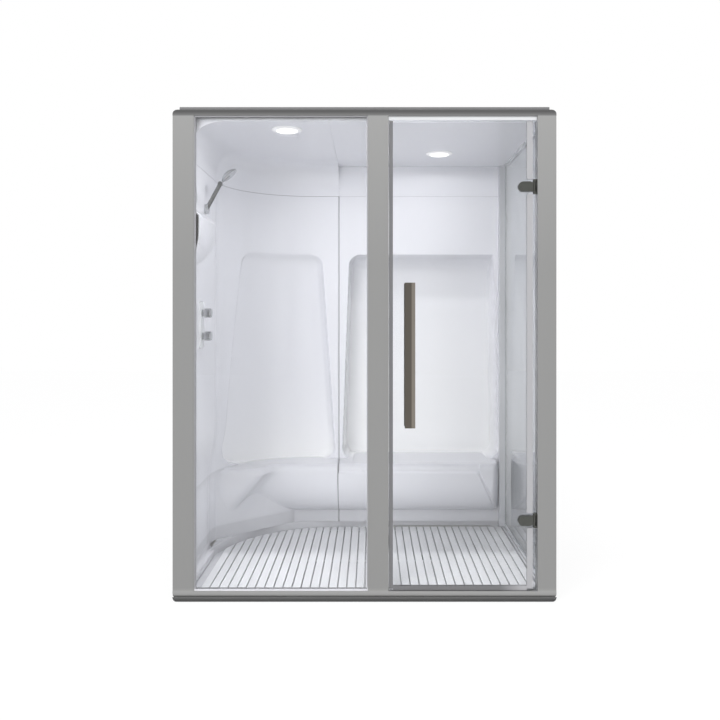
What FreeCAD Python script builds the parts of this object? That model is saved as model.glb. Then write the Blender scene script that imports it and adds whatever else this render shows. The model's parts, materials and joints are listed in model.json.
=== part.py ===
import FreeCAD, Part

import math
import os
import re

import Sketcher
from FreeCAD import Placement, Rotation, Vector

# Steam sauna cabin in millimetres: +X to the right, the glazed front faces -Y, +Z up.
# The origin is on the floor, in the middle of the footprint.

SIZES = {
    # whole cabin
    "cabin_width": 1700, "cabin_depth": 1350, "cabin_height": 2200,
    # base, sill, cornice and roof
    "base_height": 12, "edge_inset": 25, "runner_width": 60, "rail_width": 50,
    "sill_height": 38, "cornice_height": 33, "edge_round": 26, "roof_thickness": 12,
    # front posts
    "left_post_width": 95, "centre_post_width": 92, "right_post_width": 84, "post_round": 2,
    "post_wall": 3,
    # glazing
    "glass_thickness": 8, "glass_setback": 10, "fixed_glass_width": 770,
    "gasket_width": 5, "gasket_lip": 3,
    # door
    "door_latch_gap": 6, "door_hinge_gap": 22, "door_bottom_gap": 9, "door_top_gap": 4,
    "header_height": 18, "seal_wrap": 13, "seal_lip": 2, "seal_clearance": 2,
    # hinges
    "hinge_pin_radius": 4, "pin_clearance": 0.05, "knuckle_radius": 7, "leaf_thickness": 3,
    "leaf_width": 24, "hinge_height": 66, "hinge_bearing": 11, "running_gap": 0.5,
    "clamp_height": 44, "clamp_length": 56, "clamp_thickness": 10, "clamp_gap": 18, "neck_lap": 3,
    "clamp_screw_radius": 4, "clamp_screw_spacing": 20, "hinge_lower_inset": 301, "hinge_upper_inset": 291,
    # pull handle
    "handle_inset": 87, "handle_bottom": 775, "handle_length": 639, "handle_width": 46,
    "handle_thickness": 14, "handle_round": 3, "handle_clear": 29, "standoff_radius": 9,
    "standoff_inset": 70, "bolt_radius": 4,
    # tray and slatted floor
    "tray_thickness": 8, "tray_wall": 8, "tray_rim": 44, "step_level": 70, "step_setback": 26,
    "slat_width": 33.4, "slat_gap": 8, "slat_thickness": 14, "slat_top": 40, "slat_margin": 59,
    "slat_end_gap": 3, "bearer_width": 24, "bearer_middle": 484,
    "waste_radius": 45, "waste_bore": 25, "waste_offset": 300, "waste_setback": 560, "waste_depth": 9,
    "cover_thickness": 3, "cover_slot": 6,
    # moulded panels
    "sheet_thickness": 6, "panel_inset": 271, "left_panel_width": 621, "rib_half": 17,
    "left_rib_top": 90, "right_rib_top": 60,
    "return_width": 40, "crease_level": 140, "nose_level": 393, "seat_level": 430,
    "frieze_height": 340, "dome_rise": 173, "ceiling_gap": 12, "seat_overhang": 150,
    "recess_depth": 220, "left_recess_depth": 60, "wall_inset": 70, "corner_radius": 480, "foot_step": 37,
    "foot_radius": 630, "foot_chord": 409,
    "wall_return": 14, "foot_level": 400, "wall_level": 700, "rib_blend": 50, "end_blend": 100,
    "seat_rise": 8, "arm_run": 177, "arm_width": 236, "wall_seam_run": 13, "cove": 170,
    "ceiling_flange": 20, "bulge": 40, "bulge_height": 260, "bulge_drop": 210, "bulge_near": 122,
    "bulge_seam_gap": 166,
    "batten_width": 22, "batten_thickness": 20,
    # side glass and outer panels
    "side_glass_inset": 43, "channel_width": 22, "channel_height": 20, "rear_profile_width": 35,
    "outer_sheet": 3, "outer_inset": 15,
    # downlights
    "light_radius": 71, "light_opening": 50, "trim_drop": 6, "lens_drop": 13, "housing_height": 34,
    "housing_wall": 2,
    "left_light_inset": 207, "left_light_setback": 208,
    "right_light_inset": 377, "right_light_setback": 724,
    "driver_length": 160, "driver_width": 70, "driver_height": 30, "driver_setback": 300, "driver_inset": 79,
    # mixer
    "mixer_setback": 240, "mixer_drop": 272, "knob_spacing": 109, "knob_radius": 22,
    "knob_length": 44, "spindle_radius": 6, "plate_width": 66, "plate_height": 216,
    "plate_thickness": 9, "valve_width": 44, "tail_radius": 10.5, "tail_spacing": 150,
    "collar_radius": 14,
    # shower
    "shower_setback": 337, "shower_drop": 180, "bracket_radius": 24, "bracket_height": 18,
    "arm_radius": 10, "arm_reach": 66, "arm_rise": 122, "fork_radius": 11, "fork_gap": 0.4,
    "fork_width": 6, "tongue_width": 8, "tilt_pin_radius": 4,
    "head_radius": 45, "head_height": 24, "head_reach": 60, "neck_radius": 3.5,
    # steam
    "generator_length": 360, "generator_width": 150, "generator_height": 250,
    "generator_inset": 392, "steam_pipe_radius": 9, "steam_pipe_reach": 350, "steam_pipe_gap": 180,
    "steam_pipe_level": 32,
    "generator_gap": 20, "feed_radius": 6, "feed_setback": 40, "riser_radius": 8,
    # one overrun for all cuts
    "overrun": 5,
}

# Places worked out from the sizes above. Each one may use the ones before it.
PLACES = {
    "half_width": "cabin_width / 2",
    "front": "-cabin_depth / 2",
    "back": "cabin_depth / 2",
    "sill_top": "base_height + sill_height",
    "cornice_top": "cabin_height - roof_thickness",
    "cornice_bottom": "cornice_top - cornice_height",
    "frame_left": "rail_width - half_width",
    "frame_right": "half_width - rail_width",
    "frame_front": "front + rail_width",
    "frame_back": "back - rail_width",
    "left_post_inner": "left_post_width - half_width",
    "centre_post_left": "left_post_inner + fixed_glass_width",
    "centre_post_right": "centre_post_left + centre_post_width",
    "right_post_inner": "half_width - right_post_width",
    "glass_front": "front + glass_setback",
    "glass_back": "glass_front + glass_thickness",
    "glass_middle": "glass_front + glass_thickness / 2",
    "header_bottom": "cornice_bottom - header_height",
    "hinge_axis": "right_post_inner - leaf_thickness - running_gap - knuckle_radius",
    "door_left": "centre_post_right + door_latch_gap",
    "door_right": "hinge_axis - door_hinge_gap",
    "door_bottom": "sill_top + door_bottom_gap",
    "door_top": "header_bottom - door_top_gap",
    "hinge_lower_level": "door_bottom + hinge_lower_inset",
    "hinge_upper_level": "door_top - hinge_upper_inset",
    "handle_middle": "door_left + handle_inset",
    "handle_low": "handle_bottom + standoff_inset",
    "handle_high": "handle_bottom + handle_length - standoff_inset",
    "tray_floor": "base_height + tray_thickness",
    "slat_bottom": "slat_top - slat_thickness",
    "slat_front": "frame_front + tray_wall + slat_end_gap",
    "panel_face": "back - panel_inset",
    "panel_back": "panel_face + sheet_thickness",
    "slat_back": "panel_face - slat_end_gap",
    "step_front": "panel_face + step_setback",
    "side_glass_inner": "half_width - side_glass_inset",
    "rear_profile_left": "side_glass_inner - rear_profile_width",
    "wall_face": "wall_inset - half_width",
    "seam": "wall_face + left_panel_width",
    "wall_back": "wall_face - sheet_thickness",
    "corner_x": "wall_face + corner_radius",
    "corner_y": "panel_face - corner_radius",
    "foot_x": "wall_face + foot_radius",
    "foot_y": "panel_face - foot_radius",
    "ceiling_level": "cornice_bottom - ceiling_gap",
    "ceiling_top": "ceiling_level + sheet_thickness",
    "flange_top": "cornice_bottom + ceiling_flange",
    "dome_level": "ceiling_level - dome_rise",
    "recess_top": "dome_level - frieze_height",
    "bulge_top": "dome_level - bulge_drop",
    "bulge_bottom": "bulge_top - bulge_height",
    "left_light_offset": "seam - left_light_inset",
    "right_light_offset": "rear_profile_left - right_light_inset",
    "driver_left": "seam + driver_inset",
    "outer_left": "outer_inset - half_width",
    "outer_right": "half_width - outer_inset",
    "channel_left": "side_glass_inner + glass_thickness / 2 - channel_width / 2",
    "channel_right": "channel_left + channel_width",
    "mixer_y": "front + mixer_setback",
    "mixer_level": "bulge_bottom - mixer_drop",
    "plate_face": "wall_face + plate_thickness",
    "temperature_level": "mixer_level + knob_spacing / 2",
    "flow_level": "mixer_level - knob_spacing / 2",
    "shower_y": "front + shower_setback",
    "shower_level": "dome_level - shower_drop",
    "arm_foot": "wall_face + bracket_height / 2",
    "head_x": "arm_foot + arm_reach",
    "head_level": "shower_level + arm_rise",
    "wall_seam": "corner_y - wall_seam_run",
    "bulge_end": "wall_seam - bulge_seam_gap",
    "waste_y": "front + waste_setback",
    "step_cavity_top": "step_level - tray_thickness",
    "feed_y": "step_front + feed_setback",
    "rear_profile_front": "panel_face - rear_profile_width",
    "generator_offset": "rear_profile_left - generator_inset",
    "generator_front": "step_front + generator_gap",
    "steam_pipe_y": "step_front - steam_pipe_radius - running_gap",
    "steam_pipe_left": "foot_x + steam_pipe_gap",
}

doc = FreeCAD.newDocument("SteamCabin")


def fill_sheet(name, rows):
    """One sheet with a name, a value and an alias on each row."""
    sheet = doc.addObject("Spreadsheet::Sheet", name)
    for row, (alias, text) in enumerate(rows.items(), start=1):
        sheet.set(f"A{row}", alias)
        sheet.set(f"B{row}", str(text))
        sheet.setAlias(f"B{row}", alias)
    return sheet


def qualified(text, own=()):
    """The text as an expression: each named size or place is looked up in its sheet."""
    def prefix(match):
        word = match.group(0)
        if word in SIZES:
            return "Sizes." + word
        if word in PLACES and word not in own:
            return "Places." + word
        return word
    return re.sub(r"[a-z][a-z_]*", prefix, text)


sizes_sheet = fill_sheet("Sizes", SIZES)
places_sheet = fill_sheet("Places", {name: "=" + qualified(text, PLACES) for name, text in PLACES.items()})
doc.recompute()
value = {name: float(sizes_sheet.get(name)) for name in SIZES}
value.update({name: float(places_sheet.get(name)) for name in PLACES})
nodes = []


def bind(item, **expressions):
    """Ties properties of an object to named sizes."""
    for path, text in expressions.items():
        item.setExpression(path, qualified(text))
    return item


def place(item, x, y, z, rotation=None):
    """Sets an object's corner or centre to named places, turned if asked."""
    if rotation is not None:
        item.Placement = Placement(Vector(), rotation)
    for axis, text in zip("xyz", (x, y, z)):
        item.setExpression(f"Placement.Base.{axis}", qualified(text))
    return item


def keep(item):
    """Marks an object as a sub-part that is written to its own file."""
    nodes.append(item)
    return item


def block(label, x, y, z):
    """A block between a low and a high place on each axis."""
    solid = doc.addObject("Part::Box", label)
    for side, (low, high) in zip(("Length", "Width", "Height"), (x, y, z)):
        solid.setExpression(side, qualified(f"({high}) - ({low})"))
    return place(solid, x[0], y[0], z[0])


ALONG = {
    "x": Rotation(Vector(0, 1, 0), 90),
    "y": Rotation(Vector(1, 0, 0), -90),
    "z": Rotation(),
}


def rod(label, along, start, radius, length):
    """A cylinder that grows from its start point along +X, +Y or +Z."""
    solid = doc.addObject("Part::Cylinder", label)
    bind(solid, Radius=radius, Height=length)
    return place(solid, *start, rotation=ALONG[along])


def cut(label, base, *tools):
    """The base with every tool taken away, one after the other."""
    result = base
    for number, tool in enumerate(tools, start=1):
        last = number == len(tools)
        step = doc.addObject("Part::Cut", label if last else f"{label}_cut_{number}")
        step.Base = result
        step.Tool = tool
        result = step
    return result


def fuse(label, *solids):
    """One solid out of several."""
    result = doc.addObject("Part::MultiFuse", label)
    result.Shapes = list(solids)
    return result


def group(label, solids):
    """Separate solids of the same kind as one sub-part."""
    result = doc.addObject("Part::Compound", label)
    result.Links = list(solids)
    return keep(result)


def plane_of(body, role):
    """One of the body's own origin planes."""
    return next(item for item in body.Origin.OriginFeatures if item.Role == role)


def outline(body, role, points):
    """A closed sketch of straight lines; every corner starts on a unit circle and is tied to sizes."""
    sketch = body.newObject("Sketcher::SketchObject", body.Label + "_sketch")
    sketch.AttachmentSupport = [(plane_of(body, role), "")]
    sketch.MapMode = "FlatFace"
    count = len(points)
    turns = [math.tau * index / count for index in range(count)]
    corners = [Vector(math.cos(turn), math.sin(turn), 0) for turn in turns]
    for index, corner in enumerate(corners):
        sketch.addGeometry(Part.LineSegment(corner, corners[(index + 1) % count]), False)
    for index in range(count):
        sketch.addConstraint(Sketcher.Constraint("Coincident", index, 2, (index + 1) % count, 1))
    for index, (across, up) in enumerate(points):
        corner = corners[index]
        for kind, text, guess in (("DistanceX", across, corner.x), ("DistanceY", up, corner.y)):
            number = sketch.addConstraint(Sketcher.Constraint(kind, -1, 1, index, 1, guess))
            sketch.setExpression(f"Constraints[{number}]", qualified(text))
    return sketch


def pad(body, sketch, length):
    """The sketch raised by a named length."""
    feature = body.newObject("PartDesign::Pad", body.Label + "_pad")
    feature.Profile = sketch
    return bind(feature, Length=length)


def upright_edges(shape):
    """Names of the edges that run along the piece's own Z."""
    names = []
    for number, edge in enumerate(shape.Edges, start=1):
        first, last = edge.Vertexes[0].Point, edge.Vertexes[-1].Point
        if math.isclose(first.x, last.x) and math.isclose(first.y, last.y):
            names.append(f"Edge{number}")
    return names


def bar(label, x, y, z, rounding):
    """An upright extruded bar with rounded corners, between low and high places."""
    body = doc.addObject("PartDesign::Body", label)
    wide = f"({x[1]}) - ({x[0]})"
    deep = f"({y[1]}) - ({y[0]})"
    sketch = outline(body, "XY_Plane", [("0", "0"), (wide, "0"), (wide, deep), ("0", deep)])
    raised = pad(body, sketch, f"({z[1]}) - ({z[0]})")
    doc.recompute()
    rounded = body.newObject("PartDesign::Fillet", label + "_round")
    rounded.Base = (raised, upright_edges(raised.Shape))
    bind(rounded, Radius=rounding)
    return place(body, x[0], y[0], z[0])


def turned(label, along, start, points):
    """A turned piece: a half section of (radius, height) points revolved about its own axis."""
    body = doc.addObject("PartDesign::Body", label)
    sketch = outline(body, "XZ_Plane", points)
    sweep = body.newObject("PartDesign::Revolution", label + "_turn")
    sweep.Profile = sketch
    sweep.ReferenceAxis = (sketch, ["V_Axis"])
    sweep.Angle = 360
    return place(body, *start, rotation=ALONG[along])


def edge_number(shape, y, z):
    """Number of the edge that lies at one y and one z all along."""
    for number, edge in enumerate(shape.Edges, start=1):
        ends = [vertex.Point for vertex in edge.Vertexes]
        if all(math.isclose(end.y, y) and math.isclose(end.z, z) for end in ends):
            return number
    raise ValueError("no such edge")


def mitred_rail(label, turn, length, reach, z, rounded):
    """One side of a mitred ring, made at the front and turned about Z to its own side."""
    ends = (f"-({length}) / 2", f"({length}) / 2")
    blank = block(label + "_blank", ends, (f"-({reach})", f"rail_width - ({reach})"), z)
    doc.recompute()
    soft = doc.addObject("Part::Fillet", label + "_round")
    soft.Base = blank
    number = edge_number(blank.Shape, -value[reach], value[rounded])
    soft.Edges = [(number, value["edge_round"], value["edge_round"])]
    cutters = []
    for side, end in zip(("_first", "_last"), ends):
        cutter = doc.addObject("Part::Box", label + side + "_mitre")
        bind(cutter, Length="2 * rail_width", Width="2 * rail_width", Height=f"{z[1]} - {z[0]} + 2 * overrun")
        place(cutter, end, f"-({reach})", f"{z[0]} - overrun", Rotation(Vector(0, 0, 1), 45))
        cutters.append(cutter)
    rail = cut(label, soft, *cutters)
    rail.Placement = Placement(Vector(), Rotation(Vector(0, 0, 1), turn))
    return keep(rail)


TAIL_LEVELS = {"hot": "mixer_level + tail_spacing / 2", "cold": "mixer_level - tail_spacing / 2"}


def frame():
    """Base frame, the two mitred rings, posts, roof, header and outer sheets."""
    left, right = "edge_inset - half_width", "half_width - edge_inset"
    near, far = "front + edge_inset", "back - edge_inset"
    floor = ("0", "base_height")
    keep(fuse(
        "base_frame",
        block("base_near", (left, right), (near, f"{near} + runner_width"), floor),
        block("base_far", (left, right), (f"{far} - runner_width", far), floor),
        block("base_left", (left, f"{left} + runner_width"), (near, far), floor),
        block("base_middle", ("-runner_width / 2", "runner_width / 2"), (near, far), floor),
        block("base_right", (f"{right} - runner_width", right), (near, far), floor),
    ))
    sides = (
        ("front", 0, "cabin_width", "back"),
        ("right", 90, "cabin_depth", "half_width"),
        ("rear", 180, "cabin_width", "back"),
        ("left", 270, "cabin_depth", "half_width"),
    )
    for name, turn, length, reach in sides:
        mitred_rail("sill_" + name, turn, length, reach, ("base_height", "sill_top"), "base_height")
        mitred_rail("cornice_" + name, turn, length, reach, ("cornice_bottom", "cornice_top"), "cornice_top")
    posts = (
        ("left_post", ("-half_width", "left_post_inner"), ("front", "frame_front")),
        ("centre_post", ("centre_post_left", "centre_post_right"), ("front", "frame_front")),
        ("right_post", ("right_post_inner", "half_width"), ("front", "frame_front")),
        ("rear_left_post", ("-half_width", "frame_left"), ("frame_back", "back")),
        ("rear_right_post", ("frame_right", "half_width"), ("frame_back", "back")),
    )
    for name, x, y in posts:
        blank = bar(name + "_blank", x, y, ("sill_top", "cornice_bottom"), "post_round")
        core = block(name + "_core", (f"{x[0]} + post_wall", f"{x[1]} - post_wall"),
                     (f"{y[0]} + post_wall", f"{y[1]} - post_wall"),
                     ("sill_top - overrun", "cornice_bottom + overrun"))
        keep(cut(name, blank, core))
    keep(block("roof_panel", (left, right), (near, far), ("cornice_top", "cabin_height")))
    keep(block("door_header", ("centre_post_right", "right_post_inner"), ("glass_front", "frame_front"),
               ("header_bottom", "cornice_bottom")))
    sheet = block("left_outer_blank", ("outer_left", "outer_left + outer_sheet"),
                  ("frame_front", "frame_back"), ("sill_top", "cornice_bottom"))
    holes = [
        rod(f"left_outer_hole_{name}", "x", ("outer_left - overrun", "mixer_y", level),
            "collar_radius", "outer_sheet + 2 * overrun")
        for name, level in TAIL_LEVELS.items()
    ]
    keep(cut("left_outer_panel", sheet, *holes))
    keep(block("right_rear_outer_panel", ("outer_right - outer_sheet", "outer_right"),
               ("panel_back", "frame_back"), ("sill_top", "cornice_bottom")))


def floor():
    """Tray with a raised step at the back, its waste and the slatted floor that lifts out."""
    outer, inner = ("frame_left", "frame_right"), ("frame_left + tray_wall", "frame_right - tray_wall")
    step = ("base_height", "step_level")
    corner = ("foot_x", "foot_y")
    corner_step = cut(
        "tray_corner_step",
        block("tray_corner_blank", ("frame_left", "foot_x"), ("foot_y", "step_front"), step),
        rod("tray_corner_round", "z", (*corner, "base_height - overrun"), "foot_radius + step_setback",
            "step_level + 2 * overrun"),
    )
    pan = fuse(
        "tray_blank",
        block("tray_pan", outer, ("frame_front", "frame_back"), ("base_height", "tray_rim")),
        block("tray_step", outer, ("step_front", "frame_back"), step),
    )
    waste = ("waste_offset", "waste_y")
    well = cut("tray_dished", pan, block(
        "tray_well", inner, ("frame_front + tray_wall", "step_front"), ("tray_floor", "tray_rim + overrun")))
    keep(cut(
        "shower_tray", fuse("tray_stepped", well, corner_step),
        block("tray_cavity", inner, ("step_front + tray_wall", "frame_back - tray_wall"),
              ("base_height - overrun", "step_cavity_top")),
        rod("tray_waste_hole", "z", (*waste, "base_height - overrun"), "waste_bore",
            "tray_thickness + 2 * overrun"),
        rod("tray_feed_front", "y", ("generator_offset", "step_front - overrun", "steam_pipe_level"),
            "feed_radius", "tray_wall + 2 * overrun"),
        rod("tray_feed_top", "z", ("generator_offset", "feed_y", "step_cavity_top - overrun"),
            "riser_radius", "tray_thickness + 2 * overrun"),
    ))
    keep(turned("drain_body", "z", (*waste, "base_height - waste_depth"), [
        ("waste_bore", "0"), ("(waste_bore + waste_radius) / 2", "0"),
        ("(waste_bore + waste_radius) / 2", "waste_depth / 2"), ("waste_radius", "waste_depth / 2"),
        ("waste_radius", "waste_depth"), ("waste_bore", "waste_depth"),
    ]))
    cover = rod("drain_cover_blank", "z", (*waste, "tray_floor"), "waste_radius", "cover_thickness")
    slot_shares = (-0.7, -0.35, 0, 0.35, 0.7)
    slots = []
    for number, share in enumerate(slot_shares, start=1):
        middle = f"waste_y + {share} * waste_bore"
        slots.append(block(
            f"drain_slot_{number}", ("waste_offset - waste_bore", "waste_offset + waste_bore"),
            (f"{middle} - cover_slot / 2", f"{middle} + cover_slot / 2"),
            ("tray_floor - overrun", "tray_floor + cover_thickness + overrun"),
        ))
    keep(cut("drain_cover", cover, *slots))
    pitch = value["slat_width"] + value["slat_gap"]
    room = value["frame_right"] - value["tray_wall"] - value["frame_left"] - value["slat_margin"]
    count = int((room + value["slat_gap"]) // pitch)
    corner_trim = cut(
        "slat_corner_trim",
        block("slat_corner_blank", ("frame_left - overrun", "foot_x"),
              ("foot_y", "panel_face + overrun"), step),
        rod("slat_corner_round", "z", (*corner, "0"), "foot_radius - slat_end_gap", "step_level + overrun"),
    )
    slats = []
    for number in range(count):
        label = f"slat_{number + 1}"
        start = f"frame_left + slat_margin + {number} * (slat_width + slat_gap)"
        in_corner = value["frame_left"] + value["slat_margin"] + number * pitch < value["foot_x"]
        slat = block(label + "_blank" if in_corner else label, (start, f"{start} + slat_width"),
                     ("slat_front", "slat_back"), ("slat_bottom", "slat_top"))
        slats.append(cut(label, slat, corner_trim) if in_corner else slat)
    group("floor_slats", slats)
    first = "frame_left + slat_margin"
    across = (first, f"{first} + {count} * (slat_width + slat_gap) - slat_gap")
    starts = ("slat_front + bearer_width", "front + bearer_middle", "slat_back - 2 * bearer_width")
    bearers = []
    for number, start in enumerate(starts, start=1):
        bearer = block(f"bearer_{number}_blank", across, (start, f"{start} + bearer_width"),
                       ("tray_floor", "slat_bottom"))
        bearers.append(cut(f"bearer_{number}", bearer, corner_trim))
    group("slat_bearers", bearers)


def glazing():
    """Fixed front glass in its gasket, and the side glass in three profiles."""
    opening = ("left_post_inner", "centre_post_left")
    height = ("sill_top", "cornice_bottom")

    def inset(span, by):
        """The span drawn in by a size at both ends."""
        return f"{span[0]} + ({by})", f"{span[1]} - ({by})"

    pane = (inset(opening, "gasket_lip"), ("glass_front", "glass_back"), inset(height, "gasket_lip"))
    keep(block("fixed_glass", *pane))
    ring_depth = ("glass_front - gasket_lip", "glass_back + gasket_lip")
    sight = (inset(opening, "gasket_width"), inset(ring_depth, "-overrun"), inset(height, "gasket_width"))
    keep(cut(
        "fixed_glass_gasket",
        block("gasket_blank", opening, ring_depth, height),
        block("gasket_sight", *sight),
        block("gasket_groove", *pane),
    ))
    side_x = ("side_glass_inner", "side_glass_inner + glass_thickness")
    side = (side_x, ("frame_front", "rear_profile_front + gasket_lip"), inset(height, "gasket_lip"))
    keep(block("side_glass", *side))
    channel = ("channel_left", "channel_right")
    run = ("frame_front", "rear_profile_front")
    profiles = (
        ("bottom", channel, run, ("sill_top", "sill_top + channel_height")),
        ("top", channel, run, ("cornice_bottom - channel_height", "cornice_bottom")),
        ("rear", ("rear_profile_left", "channel_right"), ("rear_profile_front", "panel_back"), height),
    )
    for name, x, y, z in profiles:
        label = f"side_glass_{name}_profile"
        keep(cut(label, block(label + "_blank", x, y, z), block(label + "_groove", *side)))


def hinge(name, level):
    """One glass hinge: a leaf with two knuckles on the post, a pin, and a clamp that swings on it."""
    low, high = f"{level} - hinge_height / 2", f"{level} + hinge_height / 2"
    axis = ("hinge_axis", "glass_middle")
    bore = "hinge_pin_radius + pin_clearance"

    def label(piece):
        return f"{name}_hinge_{piece}"

    leaf_face = "right_post_inner - leaf_thickness"
    across = ("glass_middle - leaf_width / 2", "glass_middle + leaf_width / 2")
    pieces = [block(label("plate"), (leaf_face, "right_post_inner"), across, (low, high))]
    for end, start in (("low", low), ("high", f"{high} - hinge_bearing")):
        span = (start, f"{start} + hinge_bearing")
        pieces.append(rod(label(end), "z", (*axis, start), "knuckle_radius", "hinge_bearing"))
        pieces.append(block(label(end + "_web"), ("hinge_axis", leaf_face),
                            ("glass_middle - knuckle_radius", "glass_middle + knuckle_radius"), span))
    leaf = cut(label("leaf"), fuse(label("leaf_blank"), *pieces),
               rod(label("leaf_bore"), "z", (*axis, f"{low} - overrun"), bore, "hinge_height + 2 * overrun"))
    pin = rod(label("pin"), "z", (*axis, low), "hinge_pin_radius", "hinge_height")

    swing = (f"{low} + hinge_bearing + running_gap", f"{high} - hinge_bearing - running_gap")
    end_of_plate = "hinge_axis - clamp_gap"
    round_x = f"{end_of_plate} - clamp_length + clamp_height / 2"
    screws = [
        rod(label(f"screw_{side}"), "y",
            (round_x, "glass_front - clamp_thickness / 2", f"{level} {sign} clamp_screw_spacing / 2"),
            "clamp_screw_radius", "glass_thickness + clamp_thickness * 3 / 2")
        for side, sign in (("low", "-"), ("high", "+"))
    ]

    def plate(piece, start):
        """A clamp plate with a half-round free end."""
        flat = block(label(piece + "_flat"), (round_x, end_of_plate), (start, f"{start} + clamp_thickness"),
                     (f"{level} - clamp_height / 2", f"{level} + clamp_height / 2"))
        tip = rod(label(piece + "_tip"), "y", (round_x, start, level), "clamp_height / 2", "clamp_thickness")
        return fuse(label(piece + "_plate"), flat, tip)

    outer = fuse(
        label("outer_blank"),
        plate("outer", "glass_front - clamp_thickness"),
        block(label("neck"), (f"{end_of_plate} - neck_lap", "hinge_axis"),
              ("glass_front", "glass_back"), swing),
        rod(label("swing_knuckle"), "z", (*axis, swing[0]), "knuckle_radius", f"({swing[1]}) - ({swing[0]})"),
    )
    swing_bore = rod(label("swing_bore"), "z", (*axis, f"{low} - overrun"), bore,
                     "hinge_height + 2 * overrun")
    return {
        "leaf": leaf,
        "pin": pin,
        "outer": cut(label("outer"), outer, swing_bore, *screws),
        "inner": cut(label("inner"), plate("inner", "glass_back"), *screws),
        "screws": screws,
    }


def door():
    """Swinging glass door with its seals, hinges and pull handle."""
    pane = (("door_left", "door_right"), ("glass_front", "glass_back"), ("door_bottom", "door_top"))
    levels = {"lower": "hinge_lower_level", "upper": "hinge_upper_level"}
    hinges = [hinge(name, level) for name, level in levels.items()]
    group("hinge_frame_leaves", [item["leaf"] for item in hinges])
    group("hinge_pins", [item["pin"] for item in hinges])
    group("hinge_clamps_outer", [item["outer"] for item in hinges])
    group("hinge_clamps_inner", [item["inner"] for item in hinges])
    screws = [screw for item in hinges for screw in item["screws"]]

    bolt_start = "glass_front - handle_clear - handle_thickness / 2"
    bolt_length = "glass_thickness + 2 * handle_clear + handle_thickness"
    heights = {"low": "handle_low", "high": "handle_high"}
    bolts = [
        rod(f"handle_bolt_{name}", "y", ("handle_middle", bolt_start, level), "bolt_radius", bolt_length)
        for name, level in heights.items()
    ]
    group("door_fasteners", screws + bolts)
    sides = {
        "outer": ("glass_front - handle_clear", "glass_front - handle_clear - handle_thickness"),
        "inner": ("glass_back", "glass_back + handle_clear"),
    }
    standoffs = []
    for side, (sleeve_start, bar_start) in sides.items():
        label = "handle_bar_" + side
        blank = bar(label + "_blank",
                    ("handle_middle - handle_width / 2", "handle_middle + handle_width / 2"),
                    (bar_start, f"{bar_start} + handle_thickness"),
                    ("handle_bottom", "handle_bottom + handle_length"), "handle_round")
        keep(cut(label, blank, *bolts))
        for number, (name, level) in enumerate(heights.items()):
            tube = f"standoff_{side}_{name}"
            sleeve = rod(tube + "_blank", "y", ("handle_middle", sleeve_start, level),
                         "standoff_radius", "handle_clear")
            standoffs.append(cut(tube, sleeve, bolts[number]))
    group("handle_standoffs", standoffs)
    keep(cut("door_glass", block("door_glass_blank", *pane), *bolts, *screws))

    lips = ("glass_front - seal_lip", "glass_back + seal_lip")

    def seal(label, x, z):
        """A push-on seal: a strip with a groove that takes the edge of the glass."""
        return cut(label, block(label + "_strip", x, lips, z), block(label + "_groove", *pane))

    keep(seal("door_latch_seal", ("centre_post_right + seal_clearance", "door_left + seal_wrap"),
              ("door_bottom", "door_top")))
    keep(seal("door_bottom_seal",
              ("door_left + seal_wrap + running_gap", "door_right - seal_wrap - running_gap"),
              ("sill_top + running_gap", "door_bottom + seal_wrap")))
    reach = "(hinge_height / 2 + running_gap)"
    stops = ["door_bottom", "door_top"]
    for level in reversed(levels.values()):
        stops[1:1] = [f"{level} - {reach}", f"{level} + {reach}"]
    hinge_x = ("door_right - seal_wrap", "hinge_axis - knuckle_radius - seal_clearance")
    group("door_hinge_seal", [
        seal(f"hinge_seal_{number}", hinge_x, span)
        for number, span in enumerate(zip(stops[0::2], stops[1::2]), start=1)
    ])


def offset_points(points, thickness):
    """The same line of points moved to its right by a sheet's thickness, with mitred corners."""
    normals = []
    for first, last in zip(points, points[1:]):
        run = math.dist(first, last)
        normals.append(((last[1] - first[1]) / run, (first[0] - last[0]) / run))
    normals = [normals[0], *normals, normals[-1]]
    moved = []
    for point, before, after in zip(points, normals, normals[1:]):
        stretch = thickness / (1 + before[0] * after[0] + before[1] * after[1])
        moved.append(tuple(point[axis] + stretch * (before[axis] + after[axis]) for axis in (0, 1)))
    return moved


def moulded(stations):
    """A sheet of even thickness through upright sections of (outward, level) points."""
    wires = []
    for origin, outward, points in stations:
        closed = points + offset_points(points, value["sheet_thickness"])[::-1]
        corners = [origin + outward * across + Vector(0, 0, level) for across, level in closed]
        wires.append(Part.makePolygon(corners + corners[:1]))
    return Part.makeLoft(wires, True, True)


def keep_shape(label, shape):
    """A sub-part whose shape is worked out here."""
    item = doc.addObject("Part::Feature", label)
    item.Shape = shape
    return keep(item)


def between(low, high, share):
    """The value at a share of the way from low to high."""
    return low + (high - low) * share


# Shares of the belly's height, from the crease to the nose, where its section has a point.
BELLY_SHARES = (0, 0.06, 0.14, 0.26, 0.42, 0.65, 1)
# Shares of the seat's front roll: how much of the overhang is left, how far up to the seat.
ROLL_SHARES = ((0.99, 0.5), (0.93, 0.85), (0.78, 1))
# Shares of the backrest recess: how deep, how far up from the seat to the top of the recess.
BACKREST_SHARES = (
    (0.95, 0), (0.985, 0.01), (1, 0.04), (0.97, 0.3), (0.86, 0.72),
    (0.7, 0.93), (0.42, 0.972), (0.12, 0.992), (0, 1),
)


def foot_offset(level, share):
    """How far the wall steps outward near the floor, at a share of the full step."""
    fade = (value["wall_level"] - level) / (value["wall_level"] - value["foot_level"])
    return share * value["foot_step"] * min(1, max(0, fade))


def belly_share(up):
    """How much of the overhang the belly has at a share of its height: round below, upright at the nose."""
    return (1 - (1 - up) ** 2.2) ** 0.6


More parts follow.
